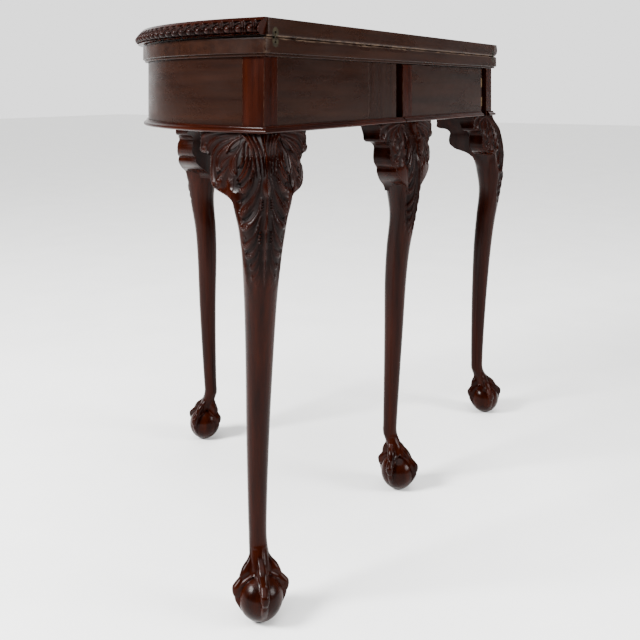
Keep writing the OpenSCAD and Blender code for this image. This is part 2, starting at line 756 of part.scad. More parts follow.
module gadroon_edge() {
    n = lobe_count * lobe_steps;
    end_y = back_y - edge_gap;
    rings = concat(
        [edge_ring([leaf_r, end_y], [1, 0], 0, 0, end_slant)],
        [edge_ring([leaf_r, end_y - end_slant - 1], [1, 0], 0, 0, 0)],
        [for (i = [0 : n]) let(a = -180 * i / n)
            edge_ring([leaf_r * cos(a), curve_y + leaf_r * sin(a)], [cos(a), sin(a)], i / lobe_steps, 1, 0)],
        [edge_ring([-leaf_r, end_y - end_slant - 1], [-1, 0], 0, 0, 0)],
        [edge_ring([-leaf_r, end_y], [-1, 0], 0, 0, end_slant)]);
    centred() color(mahogany) loft(rings);
}

// Leaf hinges: brass plates let into the back edges, joined by a link on two pins.

// Brass plate let into a leaf's back edge, slotted for the link. up is 1 below the joint, -1 above.
module hinge_plate(axis_z, up) {
    slot = link_t / 2 + link_clear;
    free = pin_set + link_clear;
    centred() color(brass) difference() {
        plate_lobe(up, plate_d);
        arris_cut(axis_z, up);
        translate([-slot, axis_y - free, up > 0 ? axis_z - free : axis_z + free - 50])
            cube([2 * slot, 50, 50]);
        translate([-plate_w / 2 - 1, axis_y, axis_z]) rotate([0, 90, 0])
            cylinder(r = hinge_pin_r, h = plate_w + 2);
    }
}

module hinge_pin(axis_z) {
    centred() color(steel) translate([-hinge_pin_l / 2, axis_y, axis_z]) rotate([0, 90, 0])
        cylinder(r = hinge_pin_r, h = hinge_pin_l);
}

// Link that carries the upper leaf's pin round the lower leaf's pin.
module hinge_link() {
    r = pin_set - 2 * link_clear;
    centred() color(brass) translate([-link_t / 2, 0, 0]) difference() {
        union() {
            for (z = [lower_axis_z, upper_axis_z])
                translate([0, axis_y, z]) rotate([0, 90, 0]) cylinder(r = r, h = link_t);
            translate([0, axis_y - r, lower_axis_z]) cube([link_t, 2 * r, 2 * pin_set]);
        }
        for (z = [lower_axis_z, upper_axis_z])
            translate([-1, axis_y, z]) rotate([0, 90, 0])
                cylinder(r = hinge_pin_r + pin_clear, h = link_t + 2);
    }
}

module hinge_plate_lower_right() {
    translate([hinge_x, 0, 0]) hinge_plate(lower_axis_z, 1);
}

module hinge_plate_lower_left() {
    translate([-hinge_x, 0, 0]) hinge_plate(lower_axis_z, 1);
}

module hinge_plate_upper_right() {
    translate([hinge_x, 0, 0]) hinge_plate(upper_axis_z, -1);
}

module hinge_plate_upper_left() {
    translate([-hinge_x, 0, 0]) hinge_plate(upper_axis_z, -1);
}

module hinge_pin_lower_right() {
    translate([hinge_x, 0, 0]) hinge_pin(lower_axis_z);
}

module hinge_pin_lower_left() {
    translate([-hinge_x, 0, 0]) hinge_pin(lower_axis_z);
}

module hinge_pin_upper_right() {
    translate([hinge_x, 0, 0]) hinge_pin(upper_axis_z);
}

module hinge_pin_upper_left() {
    translate([-hinge_x, 0, 0]) hinge_pin(upper_axis_z);
}

module hinge_link_right() {
    translate([hinge_x, 0, 0]) hinge_link();
}

module hinge_link_left() {
    translate([-hinge_x, 0, 0]) hinge_link();
}

leg_right_back();
leg_left_back();
leg_front();
ear_right_rear();
ear_right_side();
ear_left_rear();
ear_left_side();
ear_front_right();
ear_front_left();
apron_right();
apron_left();
inner_back_rail();
outer_back_rail();
stop_block();
knuckle_block();
knuckle_pin();
cross_rail();
corner_block_right();
corner_block_left();
moulding_right();
moulding_left();
moulding_back();
moulding_post();
lower_leaf();
lower_baize();
hinge_plate_lower_right();
hinge_plate_lower_left();
hinge_pin_lower_right();
hinge_pin_lower_left();
gate_rail();
gate_leg();
ear_gate_right();
ear_gate_left();
moulding_gate();
hinge_link_right();
hinge_link_left();
upper_leaf();
gadroon_edge();
upper_baize();
hinge_plate_upper_right();
hinge_plate_upper_left();
hinge_pin_upper_right();
hinge_pin_upper_left();
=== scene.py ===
# %% [markdown]
# # A half-round card table with carved legs
#
# The table is a half circle of dark mahogany on four cabriole legs. It is shown closed: the upper
# leaf lies folded on the lower one. One leg hangs on a wooden hinge and swings out of the back
# like a gate, and the upper leaf then folds over onto it.
#
# The joiner's work (rails, hinges, pins and hidden blocks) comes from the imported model. This script
# adds what a carver and a polisher do: leaf carving, ball-and-claw feet, the gadroon edge, softened
# arrises, brass, baize and polish.

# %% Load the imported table
import math

import bpy
import numpy as np
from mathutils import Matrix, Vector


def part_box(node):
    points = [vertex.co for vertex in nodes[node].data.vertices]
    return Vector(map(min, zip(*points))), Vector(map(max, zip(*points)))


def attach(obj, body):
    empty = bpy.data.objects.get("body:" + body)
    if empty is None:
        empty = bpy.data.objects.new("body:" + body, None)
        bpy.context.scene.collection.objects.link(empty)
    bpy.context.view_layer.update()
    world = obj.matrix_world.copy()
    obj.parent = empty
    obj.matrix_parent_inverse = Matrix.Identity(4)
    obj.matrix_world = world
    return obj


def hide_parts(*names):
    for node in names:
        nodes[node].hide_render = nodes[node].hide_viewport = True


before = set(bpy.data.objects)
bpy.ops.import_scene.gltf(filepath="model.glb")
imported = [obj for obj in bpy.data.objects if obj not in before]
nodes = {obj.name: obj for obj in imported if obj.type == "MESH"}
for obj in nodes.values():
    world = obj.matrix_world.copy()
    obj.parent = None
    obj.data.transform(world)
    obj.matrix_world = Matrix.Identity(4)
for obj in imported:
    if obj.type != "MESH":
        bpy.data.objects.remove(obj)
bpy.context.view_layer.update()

# %% [markdown]
# ## Sizes
#
# A maker works from a cutting list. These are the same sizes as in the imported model, in
# millimetres, laid out from the middle of the straight back face. `BACK_FACE` moves that
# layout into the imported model's frame, and is measured on one of its rails.

# %% Cutting list
MM = 0.001
BACK_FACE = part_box("outer_back_rail")[1][1] / MM
TABLE_TOP, SPLIT, RAIL_TOP, RAIL_BOTTOM = 750.0, 726.0, 702.0, 606.0
RADIUS, CURVE_Y, FRAME_DEPTH = 409.0, -9.0, 418.0
LEAF_R, LEAF_BACK = 417.0, 8.0
POST_W, POST_D, APRON_T, RAIL_T = 30.0, 34.0, 20.0, 33.0
STOP_X, STOP_END = 37.0, 131.0
GATE_LEFT, GATE_LEG_X, GATE_CLEAR = -347.5, -5.0, 1.0
GATE_TOP = RAIL_TOP - GATE_CLEAR
KNEE_HALF, KNEE_OUT, KNEE_DROP, KNEE_LEN = 35.0, 28.0, 76.0, 132.0
CALF_R, SHAFT_R, ANKLE_R = 25.0, 15.8, 11.9
SHAFT_IN, ANKLE_IN, FOOT_IN = 22.0, 29.0, 14.0
BALL_R = 28.5
FRONT_LEG_OUT, GATE_LEG_IN, SHAFT_BOW = 14.0, 3.0, 4.0
CALF_FLAT, INNER_RISE, SIDE_RISE, CALF_SPLAY = 5.0, 18.0, 8.0, 3.0
EAR_REACH, EAR_NOTCH, EAR_NOTCH_W, EAR_SCROLL, EAR_SCROLL_AT = 103.0, 74.0, 12.0, 77.0, 54.0
EAR_STEP_H, EAR_H, EAR_TIP, EAR_ROOT = 28.0, 71.0, 3.0, (79.0, 84.5, 112.0)
EAR_T, EAR_THIN, EAR_BACK_IN = 33.0, (19.0, 24.0), (0.35, 0.1)
EAR_SIDE_MORE, EAR_SIDE_LEAN, EAR_ROOT_IN, EAR_START_IN = 11.0, 7.0, 10.5, 12.0
HINGE_X, PLATE_R, PLATE_AT, PLATE_D = 395.5, 7.0, 5.5, 8.0
print("back face of the frame at y =", round(BACK_FACE, 2), "mm")

# %% [markdown]
# ## Surfaces from formulas
#
# Every new piece is a grid of points: one parameter runs along the piece and the other round it.
# Numpy works out the whole grid at once, which is quicker and cleaner than placing points one at a
# time. The helpers below are the smooth steps and curves that all the shapes use.

# %% Smooth steps and curves
def ease(t):
    """Smooth step: 3t^2 - 2t^3, flat before 0 and after 1."""
    t = np.clip(t, 0.0, 1.0)
    return t * t * (3.0 - 2.0 * t)


def mix(a, b, t):
    """Straight blend from a to b."""
    return a + (b - a) * t


def bump(z, at, width):
    """Bell: e to the minus square of the distance from `at`, in widths."""
    return np.exp(-(((z - at) / width) ** 2))


def through(keys, x):
    """Cubic Hermite curve through (place, value) pairs. Its slope at a key is that of the line
    between the key's two neighbours, and nothing at the ends."""
    kx, kv = np.array(keys, float).T
    slope = np.zeros_like(kx)
    slope[1:-1] = (kv[2:] - kv[:-2]) / (kx[2:] - kx[:-2])
    x = np.clip(x, kx[0], kx[-1])
    i = np.clip(np.searchsorted(kx, x, side="right") - 1, 0, len(kx) - 2)
    w = kx[i + 1] - kx[i]
    t = (x - kx[i]) / w
    return ((2 * t**3 - 3 * t**2 + 1) * kv[i] + (t**3 - 2 * t**2 + t) * w * slope[i]
            + (3 * t**2 - 2 * t**3) * kv[i + 1] + (t**3 - t**2) * w * slope[i + 1])


# %% From a grid of points to a mesh
def grid_faces(rows, cols, wrap):
    """Quads between neighbouring rows and columns; with wrap the last column meets the first."""
    r, c = np.meshgrid(np.arange(rows - 1), np.arange(cols if wrap else cols - 1), indexing="ij")
    a = r * cols + c
    b = r * cols + (c + 1) % cols
    return np.stack([a, b, b + cols, a + cols], -1).reshape(-1, 4)


def shell(points):
    """Closed skin from rings of points (rows, cols, 3): quads between the rings and a fan of
    triangles from the middle of the first and of the last ring."""
    rows, cols = points.shape[:2]
    quads = grid_faces(rows, cols, True)
    k = np.arange(cols)
    first, last = rows * cols, rows * cols + 1
    fan_a = np.stack([(k + 1) % cols, k, np.full(cols, first)], -1)
    base = (rows - 1) * cols
    fan_b = np.stack([base + k, base + (k + 1) % cols, np.full(cols, last)], -1)
    verts = np.concatenate([points.reshape(-1, 3), points[:1].mean(1), points[-1:].mean(1)])
    return verts, [quads, fan_a, fan_b]


def volume(verts, faces):
    """Signed volume: the sum over all triangles of a . (b x c) / 6. It is negative inside out."""
    tris = np.concatenate([f[:, [0, i, i + 1]] for f in faces for i in range(1, f.shape[1] - 1)])
    a, b, c = verts[tris[:, 0]], verts[tris[:, 1]], verts[tris[:, 2]]
    return float(np.einsum("ij,ij->", a, np.cross(b, c)) / 6.0)


def make_piece(name, shells, body, node=None, sharp=30.0, fields=None):
    """One mesh from closed shells laid out in millimetres. A shell that is inside out is turned.
    fields holds one array for each named attribute, in the order of the shells' points."""
    verts, faces, start = [], [], 0
    for points, groups in shells:
        if volume(points, groups) < 0:
            groups = [g[:, ::-1] for g in groups]
        faces += [(g + start) for g in groups]
        verts.append(points)
        start += len(points)
    verts = np.concatenate(verts) + [0.0, BACK_FACE, 0.0]
    mesh = bpy.data.meshes.new(name)
    mesh.from_pydata((verts * MM).tolist(), [], [f for g in faces for f in g.tolist()])
    for field, values in (fields or {}).items():
        values = np.asarray(values, np.float32)
        kind = "FLOAT_VECTOR" if values.ndim == 2 else "FLOAT"
        layer = mesh.attributes.new(field, kind, "POINT")
        layer.data.foreach_set("vector" if kind == "FLOAT_VECTOR" else "value", values.ravel())
    mesh.validate()
    mesh.shade_smooth()
    mesh.set_sharp_from_angle(angle=math.radians(sharp))
    piece = bpy.data.objects.new(name, mesh)
    bpy.context.scene.collection.objects.link(piece)
    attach(piece, body)
    if node:
        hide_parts(*([node] if isinstance(node, str) else node))
    print(f"{name}: {len(mesh.vertices)} points, {len(mesh.polygons)} faces")
    return piece

# %% [markdown]
# ## The leaf carving on knees and ears
#
# The carver draws an acanthus leaf that springs from the middle of the knee, runs out over both
# ears in overlapping tongues, and drops down the leg in pairs of curled leaflets. The whole
# drawing is symmetrical about the knee's front edge. A sculptor would push clay about; here the
# leaf is a height field: each tongue is a curve with a rounded back, and the highest tongue wins
# at each point. The same drawing is laid over all four knees and all eight ears, so it meets
# where an ear joins its knee.

# %% One tongue of the leaf
def curve_points(points, count=60):
    """Catmull-Rom curve through the given points, evaluated at evenly spaced parameters."""
    p = np.array(points, float)
    p = np.concatenate([[2 * p[0] - p[1]], p, [2 * p[-1] - p[-2]]])
    u = np.linspace(0, len(p) - 3 - 1e-9, count)
    i = u.astype(int)
    t = (u - i)[:, None]
    a, b, c, d = p[i], p[i + 1], p[i + 2], p[i + 3]
    return 0.5 * (2 * b + (c - a) * t + (2 * a - 5 * b + 4 * c - d) * t**2
                  + (3 * b - a - 3 * c + d) * t**3)


def tongue(across, down, points, half_width, height, veins=2.0):
    """Height of one tongue, and how far each point lies outside it. A half-round back runs along a
    curve: narrow at its root, fullest near its tip, and closing quickly there. Fine veins are
    cosine ripples across its width."""
    line = curve_points(points)
    gap = np.hypot(across[..., None] - line[:, 0], down[..., None] - line[:, 1])
    near, t = gap.min(-1), gap.argmin(-1) / (len(line) - 1.0)
    full = half_width * (0.4 + 0.6 * ease(t * 1.6)) * np.sqrt(np.clip(1.04 - t ** 7, 0.02, 1))
    x = near / full
    back = np.sqrt(np.clip(1 - x * x, 0, 1))
    ripple = 0.17 * np.cos(2 * np.pi * veins * x) * np.sqrt(np.clip(1 - x, 0, 1))
    return height * (0.62 + 0.38 * ease(t * 1.8)) * back * (1 + ripple), near - full


def button(across, down, at, radii, height):
    """Bead, scroll eye or plain swelling: the top of an ellipsoid."""
    r = np.hypot((across - at[0]) / radii[0], (down - at[1]) / radii[1])
    return height * np.sqrt(np.clip(1 - r * r, 0, 1))


# %% The whole drawing
# Each row is a tongue: its curve as (distance from the knee's front edge, drop below the frame),
# half width, height and number of veins. The first two scrolls roll up at the ear's tip and at its
# big round end. A sheaf of four ribs fans upwards beside the front edge. The last rows are the
# leaflets that hang down the leg.
TONGUES = [
    ([(24, -4), (70, -2), (98, 1), (114, 5), (120, 13), (119, 22), (113, 25), (108, 20), (112, 15)],
     4.6, 3.2, 1.5),
    ([(40, -1), (70, 3), (92, 8), (103, 16), (106, 24), (103, 30)], 4.4, 3.0, 1.5),
    ([(44, 0), (66, 7), (84, 14), (94, 26), (97, 40), (95, 54), (90, 65), (82, 68), (77, 61),
      (81, 55)], 5.0, 3.6, 2.0),
    ([(50, 4), (64, 11), (78, 22), (85, 34), (84, 45), (79, 48)], 4.6, 3.1, 2.0),
    ([(48, 3), (60, 8), (68, 16), (70, 26)], 3.3, 3.7, 0.5),
    ([(48, 12), (54, 24), (58, 34), (57, 44), (51, 51)], 7.0, 3.0, 1.0),
    ([(58, 26), (68, 33), (75, 40), (76, 45)], 3.6, 3.3, 1.0),
    ([(60, 36), (67, 45), (74, 53), (79, 54)], 3.4, 3.3, 1.0),
    ([(38, 0), (45, 12), (43, 26), (42, 34), (46, 42)], 3.5, 3.6, 0.5),
    ([(32, 2), (37, 15), (35, 28), (36, 38), (41, 49), (50, 58)], 3.7, 3.4, 0.5),
    ([(27, 16), (29, 31), (31, 42), (38, 53), (49, 62)], 3.5, 3.4, 0.5),
    ([(22, 30), (24, 43), (27, 54), (31, 63), (38, 69), (45, 68)], 5.4, 3.8, 1.5),
    ([(19, 51), (21, 40), (24, 29), (29, 18), (39, 8), (54, 1)], 3.3, 3.9, 0.5),
    ([(12, 51), (14, 36), (18, 23), (27, 11), (41, -1)], 2.9, 3.8, 0.5),
    ([(7, 51), (7.5, 37), (10, 24), (17, 12), (28, -2)], 2.6, 3.7, 0.5),
    ([(2.6, 51), (3.2, 38), (3.2, 24), (5, 12), (10, -3)], 2.3, 3.9, 0.5),
    ([(13, 54), (17, 68), (25, 81), (36, 92), (44, 97), (48, 91)], 6.2, 3.5, 2.5),
    ([(12, 78), (15, 94), (22, 106), (33, 112), (43, 113), (46, 107)], 5.8, 3.4, 2.5),
    ([(12, 100), (15, 116), (21, 127), (31, 134), (41, 138), (45, 132)], 5.4, 3.3, 2.5),
    ([(11, 122), (14, 135), (20, 144), (29, 148), (38, 149), (41, 143)], 5.0, 3.1, 2.0),
    ([(11, 142), (14, 152), (20, 160), (27, 163), (30, 158)], 4.2, 2.9, 2.0),
    ([(10, 158), (13, 168), (19, 175), (24, 177), (26, 172)], 3.6, 2.7, 1.5),
    ([(7, 172), (10, 181), (14, 186), (17, 182)], 3.0, 2.5, 1.0),
]
# Swells are buttons: their middle, two radii and height.
SWELLS = [((112, 19), (3.2, 3.2), 3.7), ((83, 61), (4.8, 4.8), 3.9), ((0, 64), (11, 15), 3.6),
          ((9, 187), (3, 2.4), 2.8)]
SWELLS += [((10.5, d), (2.4, 1.3), 3.6) for d in (80, 83.4, 86.8, 90.2)]
SWELLS += [((9.5, d), (2.4, 1.4), 3.6) for d in (118, 122.4, 126.8, 131.2)]
# Notches are short cuts, deeper than the ground: their curve and half width.
NOTCHES = [
    ([(56, 15), (61, 21), (67, 23)], 2.0), ([(46, 53), (47, 59), (44, 64)], 1.8),
    ([(24, 47), (26, 53), (25, 58)], 1.6), ([(74, 47), (80, 50), (84, 52)], 1.7),
    ([(45, 38), (50, 43)], 1.4), ([(30, 72), (38, 80), (46, 84)], 1.8),
    ([(23, 93), (33, 102), (42, 104)], 1.6),
]
CARVED_TOP, GROUND, NOTCH_DEPTH = 3.9, 2.9, 1.5
DRAWN_SIDE, DRAWN_TIP = 55.2, 123.0


def acanthus(across, down):
    """What the carver took away, in millimetres. It is the least where a tongue, a bead or the thin
    rib down the front stands up. Between them lies the ground, which rises to the bare surface
    beyond the leaf and under its last leaflets; notches go deeper."""
    across, down = np.broadcast_arrays(np.abs(across), down)
    height, outside = np.zeros(across.shape), np.full(across.shape, 99.0)
    for points, half_width, top, veins in TONGUES:
        h, off = tongue(across, down, points, half_width, top, veins)
        height, outside = np.maximum(height, h), np.minimum(outside, off)
    for at, radii, top in SWELLS:
        height = np.maximum(height, button(across, down, at, radii, top))
    rib = CARVED_TOP * np.sqrt(np.clip(1 - (across / (2.0 - 0.8 * ease(down / 190))) ** 2, 0, 1))
    height = np.maximum(height, rib)
    bare_side = ease((across - 38) / 12) * ease((down - 66) / 8)
    ground = GROUND * (1 - ease((outside - 4) / 9)) * (1 - bare_side)
    taken = np.minimum(CARVED_TOP - height, ground)
    for points, half_width in NOTCHES:
        h, off = tongue(across, down, points, half_width, NOTCH_DEPTH, 0.0)
        taken = taken + h
    return taken * (1 - ease((down - 150) / 48))

# %% [markdown]
# ## Legs
#
# A cabriole leg is sawn from a square post, so its knee is still square with a sharp front edge,
# its shaft is round, and it ends in a claw that grips a ball. The leg is one surface: rings of
# points at each height, with one parameter round the ring. Square and round rings are blended
# over a short stretch under the knee.

# %% Outline of a leg, ring by ring
def knee_edge(z):
    """Stand-out of the knee's front edge: a curve through five heights."""
    return through([(RAIL_BOTTOM - KNEE_LEN * 1.21, KNEE_OUT * 0.66),
                    (RAIL_BOTTOM - KNEE_LEN * 0.83, KNEE_OUT * 0.92),
                    (RAIL_BOTTOM - KNEE_DROP, KNEE_OUT), (RAIL_BOTTOM - 30, KNEE_OUT * 0.68),
                    (RAIL_BOTTOM, KNEE_OUT * 0.1)], z)


def prow(v, z):
    """Front of a middle leg's knee: the edge's stand-out, falling off evenly to both sides."""
    return knee_edge(z) * (0.78 - 0.32 * np.abs(v) / KNEE_HALF) + 3


def shaft_radius(z):
    """Radius of the round part of the leg, from the ankle up into the calf."""
    return through([(78, ANKLE_R), (RAIL_BOTTOM * 0.17, ANKLE_R * 0.97),
                    (RAIL_BOTTOM * 0.44, SHAFT_R), (RAIL_BOTTOM * 0.57, SHAFT_R * 1.17),
                    (RAIL_BOTTOM * 0.66, CALF_R * 0.84), (RAIL_BOTTOM * 0.75, CALF_R),
                    (RAIL_BOTTOM * 0.84, CALF_R * 1.24)], z)


def leg_axis(z):
    """Place of the leg's axis, out from the frame's corner: in at the ankle, out at the foot."""
    return through([(BALL_R, -FOOT_IN), (62, -FOOT_IN * 1.3), (88, -ANKLE_IN),
                    (RAIL_BOTTOM * 0.17, -ANKLE_IN), (RAIL_BOTTOM * 0.44, -SHAFT_IN),
                    (RAIL_BOTTOM * 0.57, -SHAFT_IN * 0.87),
                    (RAIL_BOTTOM * 0.66, -SHAFT_IN * 0.68),
                    (RAIL_BOTTOM * 0.75, -SHAFT_IN * 0.3),
                    (RAIL_BOTTOM * 0.84, -SHAFT_IN * 0.25)], z)


def leg_bow(z):
    """Gentle bow of a fixed leg's shaft: none at the knee, half at the foot."""
    return through([(0, 0.5), (60, 0.5), (RAIL_BOTTOM * 0.2, 1), (RAIL_BOTTOM * 0.4, 1),
                    (RAIL_BOTTOM * 0.7, 0)], z)


# %% Ball and claw
FOOT_TOP, TOE_REACH = 84.0, np.radians(17)
ARCH_LOW, ARCH_RISE, ARCH_FROM = 33.0, 22.0, 0.14


def foot_radius(angle, z):
    """Distance of the foot's surface from its axis. Four toes stand a quarter turn apart, each
    with a round back and two knuckles. Between them a web runs down in an arch with a raised
    rim, and below the arch the smooth ball shows."""
    quarter = np.pi / 2
    off = np.abs((angle + quarter / 2) % quarter - quarter / 2)
    round_by = np.where(z < BALL_R, 0.95, 1.0)
    ball = 0.985 * np.sqrt(np.clip(BALL_R**2 - round_by * (z - BALL_R) ** 2, 0, None))
    ridge = through([(0, 7.2), (4, 14.0), (9, 20.4), (15, 25.6), (20, 28.8), (25, 31.6), (30, 33.8),
                     (35, 35.3), (40, 36.2), (44, 35.6), (47, 33.0), (51, 29.4), (55, 27.0),
                     (58, 25.4), (62, 23.6), (66, 20.6), (70, 16.4), (75, 13.0), (80, 12.2),
                     (86, 11.9), (94, ANKLE_R)], z)
    ridge = ridge - 0.9 * bump(z, 31, 2.6) - 0.8 * bump(z, 53, 2.4)
    half = through([(0, 2.2), (12, 3.2), (24, 4.4), (31, 4.2), (38, 5.4), (45, 5.2), (53, 4.2),
                    (60, 5.0), (70, 4.0), (90, 3.4)], z)
    between = through([(30, 28.2), (40, 27.0), (47, 23.6), (52, 18.6), (56, 14.2), (60, 12.9),
                       (66, 12.3), (74, 11.9), (86, 11.5)], z)
    near = np.exp(-((off / TOE_REACH) ** 2))
    web = mix(between, np.maximum(ridge - 4.2, between), near)
    along = np.clip((off - ARCH_FROM) / (quarter / 2 - ARCH_FROM), 0, 1)
    arch = ARCH_LOW + ARCH_RISE * np.sin(quarter * along) ** 0.5
    over = ease((z - arch) / 1.8)
    rim = 1.1 * bump(z, arch + 1.9, 1.5) * (z > arch - 1)
    skin = mix(ball, np.maximum(web, ball + 0.4), over) + rim
    d = off * np.maximum(skin, 8) / half
    toe = np.clip(1 - d * d, 0, 1) ** 0.45
    return np.maximum(skin, skin + (ridge - skin) * toe * (ridge > skin))


# %% A leg's rings
RING, SIDE = 24, 6


def ring_places(fine, coarse):
    """Places round a ring of 24, from -8 to 16 with the front edge at 0: closely spaced over the
    carved front two thirds and wider behind."""
    front = np.linspace(-8, 8, fine, endpoint=False)
    back = np.linspace(8, 16, coarse, endpoint=False)
    return np.concatenate([front, back])


def from_front(k):
    """A place round the ring counted from the front edge, from -12 to 12."""
    return (k + RING / 2) % RING - RING / 2


def corner_ring(k, z):
    """Square knee of a corner leg: k runs along its four sides from the outer corner."""
    b = knee_edge(z) / np.sqrt(2)
    side, t = (k % RING) // SIDE, (k % SIDE) / SIDE
    low, high = -KNEE_HALF + 0 * b, b + 0 * k
    x = np.where(side == 0, mix(high, low, t), np.where(side == 1, low,
                 np.where(side == 2, mix(low, high, t), high)))
    y = np.where(side == 0, high, np.where(side == 1, mix(high, low, t),
                 np.where(side == 2, low, mix(low, high, t))))
    return x, y


def knee_shift(z, shift):
    """How far a middle leg's knee moves out with the leg, from nothing under the frame."""
    return shift * 0.6 * ease((RAIL_BOTTOM - z) / EAR_SCROLL_AT)


def middle_ring(k, z, shift):
    """Knee of a middle leg: a prow in front, straight cheeks where the ears join, round behind."""
    k = from_front(k)
    s, side = np.abs(k) / SIDE, -np.sign(k)
    v = KNEE_HALF * np.where(s <= 1, np.minimum(s * 1.25, 1), np.sin(np.pi / 2 * (2 - s)))
    front = prow(v, z)
    b = np.where(s <= 0.8, front, np.where(s <= 1, front * (1 - 2.4 * (s - 0.8)),
                 mix(front * 0.52, -POST_D, np.sin(np.pi / 2 * (s - 1)))))
    return side * v, b + knee_shift(z, shift)


def leg_rings(corner, shift, bow, z, k):
    """Rings of the leg in its own layout: the frame's corner or face at the origin, +Y out. Also
    returns how square each point still is, from 1 in the knee to 0 in the round shaft."""
    z, k = z[:, None], k[None, :]
    turn = np.pi / 4 if corner else np.pi / 2
    angle = turn + 2 * np.pi * k / RING
    inner = np.maximum(0, -np.cos(angle - turn)) * corner
    beside = np.sin(angle - turn) ** 2 * corner
    calf = bump(z, RAIL_BOTTOM * 0.75, 90)
    slim = (CALF_FLAT * inner if corner else 2.0) * calf
    c = leg_axis(z) + shift + (0 if corner else 2 * calf)
    radius = np.where(z < FOOT_TOP, foot_radius(angle - turn, z), shaft_radius(z) - slim)
    cx, cy = (c / np.sqrt(2), c / np.sqrt(2)) if corner else (0 * c, c)
    cx = cx + corner * CALF_SPLAY * bump(z, RAIL_BOTTOM * 0.72, 110)
    cy = cy - bow * leg_bow(z)
    round_x, round_y = cx + radius * np.cos(angle), cy + radius * np.sin(angle)
    knee_x, knee_y = corner_ring(k, z) if corner else middle_ring(k, z, shift)
    rise = np.maximum(INNER_RISE * inner, SIDE_RISE * beside)
    m = ease((RAIL_BOTTOM - KNEE_DROP - 6 + rise - z) / (KNEE_LEN * 0.35))
    x, y = mix(knee_x, round_x, m), mix(knee_y, round_y, m)
    return np.stack([x, y, z + 0 * k], -1), 1 - m


def outward(points):
    """Unit normals of a grid of points: the cross product of its two directions."""
    normal = np.cross(np.gradient(points, axis=1), np.gradient(points, axis=0))
    return normal / np.maximum(np.linalg.norm(normal, axis=-1, keepdims=True), 1e-9)

# %% [markdown]
# ## Boards, posts and strips
#
# Rails and posts are plain boards, but a real board has no razor edge: its arrises are rubbed down
# with the polish, and that thin rounded line is what catches the light. A bevel modifier could do
# it; here the rounding is in the section itself, with one more point on each side of it that keeps
# the flat faces flat under smooth shading. Each point also gets a `grain` place: how far it is
# along the board, and where it is in its thickness and width. The wood reads that, so the grain
# follows every board, also round the curve.

# %% Sections and how they are carried
ARRIS_RUBBED, REAL_TURN = 0.3, 0.85


def rounded_section(corners, radius=0.7, steps=3, hold=0.5):
    """Outline of a section. Every corner becomes a small arc (a quadratic curve from one side to
    the other), with a point just beyond it on both sides."""
    corners = np.array(corners, float)
    out = []
    for i, c in enumerate(corners):
        a, b = corners[i - 1] - c, corners[(i + 1) % len(corners)] - c
        a, b = a / np.linalg.norm(a), b / np.linalg.norm(b)
        out.append(c + a * (radius + hold))
        out += [c + radius * (a * (1 - t) ** 2 + b * t**2) for t in np.linspace(0, 1, steps + 1)]
        out.append(c + b * (radius + hold))
    return np.array(out)


def board(section, axis, start, end, soft=0.5, hold=0.5):
    """Section carried along an axis. Its first and last rings are drawn in by `soft`, so the end
    grain has a softened arris too. Returns the shell, each point's place in the grain, and its
    relief: 1 on plain faces and more on the arrises, where the section really turns."""
    middle = section.mean(0)
    span = np.abs(section - middle).max(0)
    places = [(start, soft + hold), (start, soft), (start + soft * 0.3, soft * 0.3),
              (start + soft, 0), (start + soft + hold, 0), (end - soft - hold, 0),
              (end - soft, 0), (end - soft * 0.3, soft * 0.3), (end, soft), (end, soft + hold)]
    drawn_in = [(middle + (section - middle) * (1 - inset / span), at) for at, inset in places]
    rings = np.array([np.insert(ring, axis, at, axis=1) for ring, at in drawn_in])
    skin = shell(rings)
    others = [i for i in range(3) if i != axis]
    corner = section.reshape(-1, 6, 2)
    coming, going = corner[:, 1] - corner[:, 0], corner[:, 5] - corner[:, 4]
    lengths = np.linalg.norm(coming, axis=-1), np.linalg.norm(going, axis=-1)
    cosine = (coming * going).sum(-1) / lengths[0] / lengths[1]
    rubbed = 1.0 + ARRIS_RUBBED * (cosine < REAL_TURN)[:, None] * np.array([0, 1, 1, 1, 1, 0])
    relief = np.concatenate([np.tile(rubbed.ravel(), len(rings)), [1.0, 1.0]])
    return skin, skin[0][:, [axis] + others], relief


def swept(profile, path, outward, trim=None):
    """Profile of (stand-out, height) points carried along a path in plan. Each point stands out
    along the path's outward vector at that place. Returns the shell and the grain places: length
    along the path, stand-out and height."""
    out = path[:, None, :] + outward[:, None, :] * profile[None, :, :1]
    rings = np.concatenate([out, np.broadcast_to(profile[None, :, 1:], out.shape[:2] + (1,))], -1)
    if trim is not None:
        rings = trim(rings)
    run = np.concatenate([[0], np.cumsum(np.linalg.norm(np.diff(path, axis=0), axis=1))])
    grain = np.concatenate([np.broadcast_to(run[:, None, None], out.shape[:2] + (1,)),
                            np.broadcast_to(profile[None], out.shape)], -1)
    skin = shell(rings)
    grain = np.concatenate([grain.reshape(-1, 3), grain[:1].mean(1), grain[-1:].mean(1)])
    return skin, grain, np.ones(len(grain))


def front_curve(radius, start, end, count):
    """Arc of the half-round front, from one angle to the other in degrees; 0 is at the right."""
    a = np.radians(np.linspace(start, end, count))
    normal = np.stack([np.cos(a), np.sin(a)], -1)
    return normal * radius + [0, CURVE_Y], normal


def turned(part, flip=False, half_turn=False, move=(0, 0, 0)):
    """A part mirrored across the middle of the table, given a half turn, or moved."""
    (points, faces), grain, relief = part
    points = points * [-1, 1, 1] if flip else points
    points = points * [-1, -1, 1] if half_turn else points
    return (points + np.array(move), faces), grain, relief


def wooden(name, parts, body, node, sharp=40):
    """A piece from (shell, grain, relief) parts, with its grain places in metres."""
    fields = {"grain": np.concatenate([grain for _, grain, _ in parts]) * MM,
              "relief": np.concatenate([relief for _, _, relief in parts])}
    return make_piece(name, [skin for skin, _, _ in parts], body, node, sharp, fields)


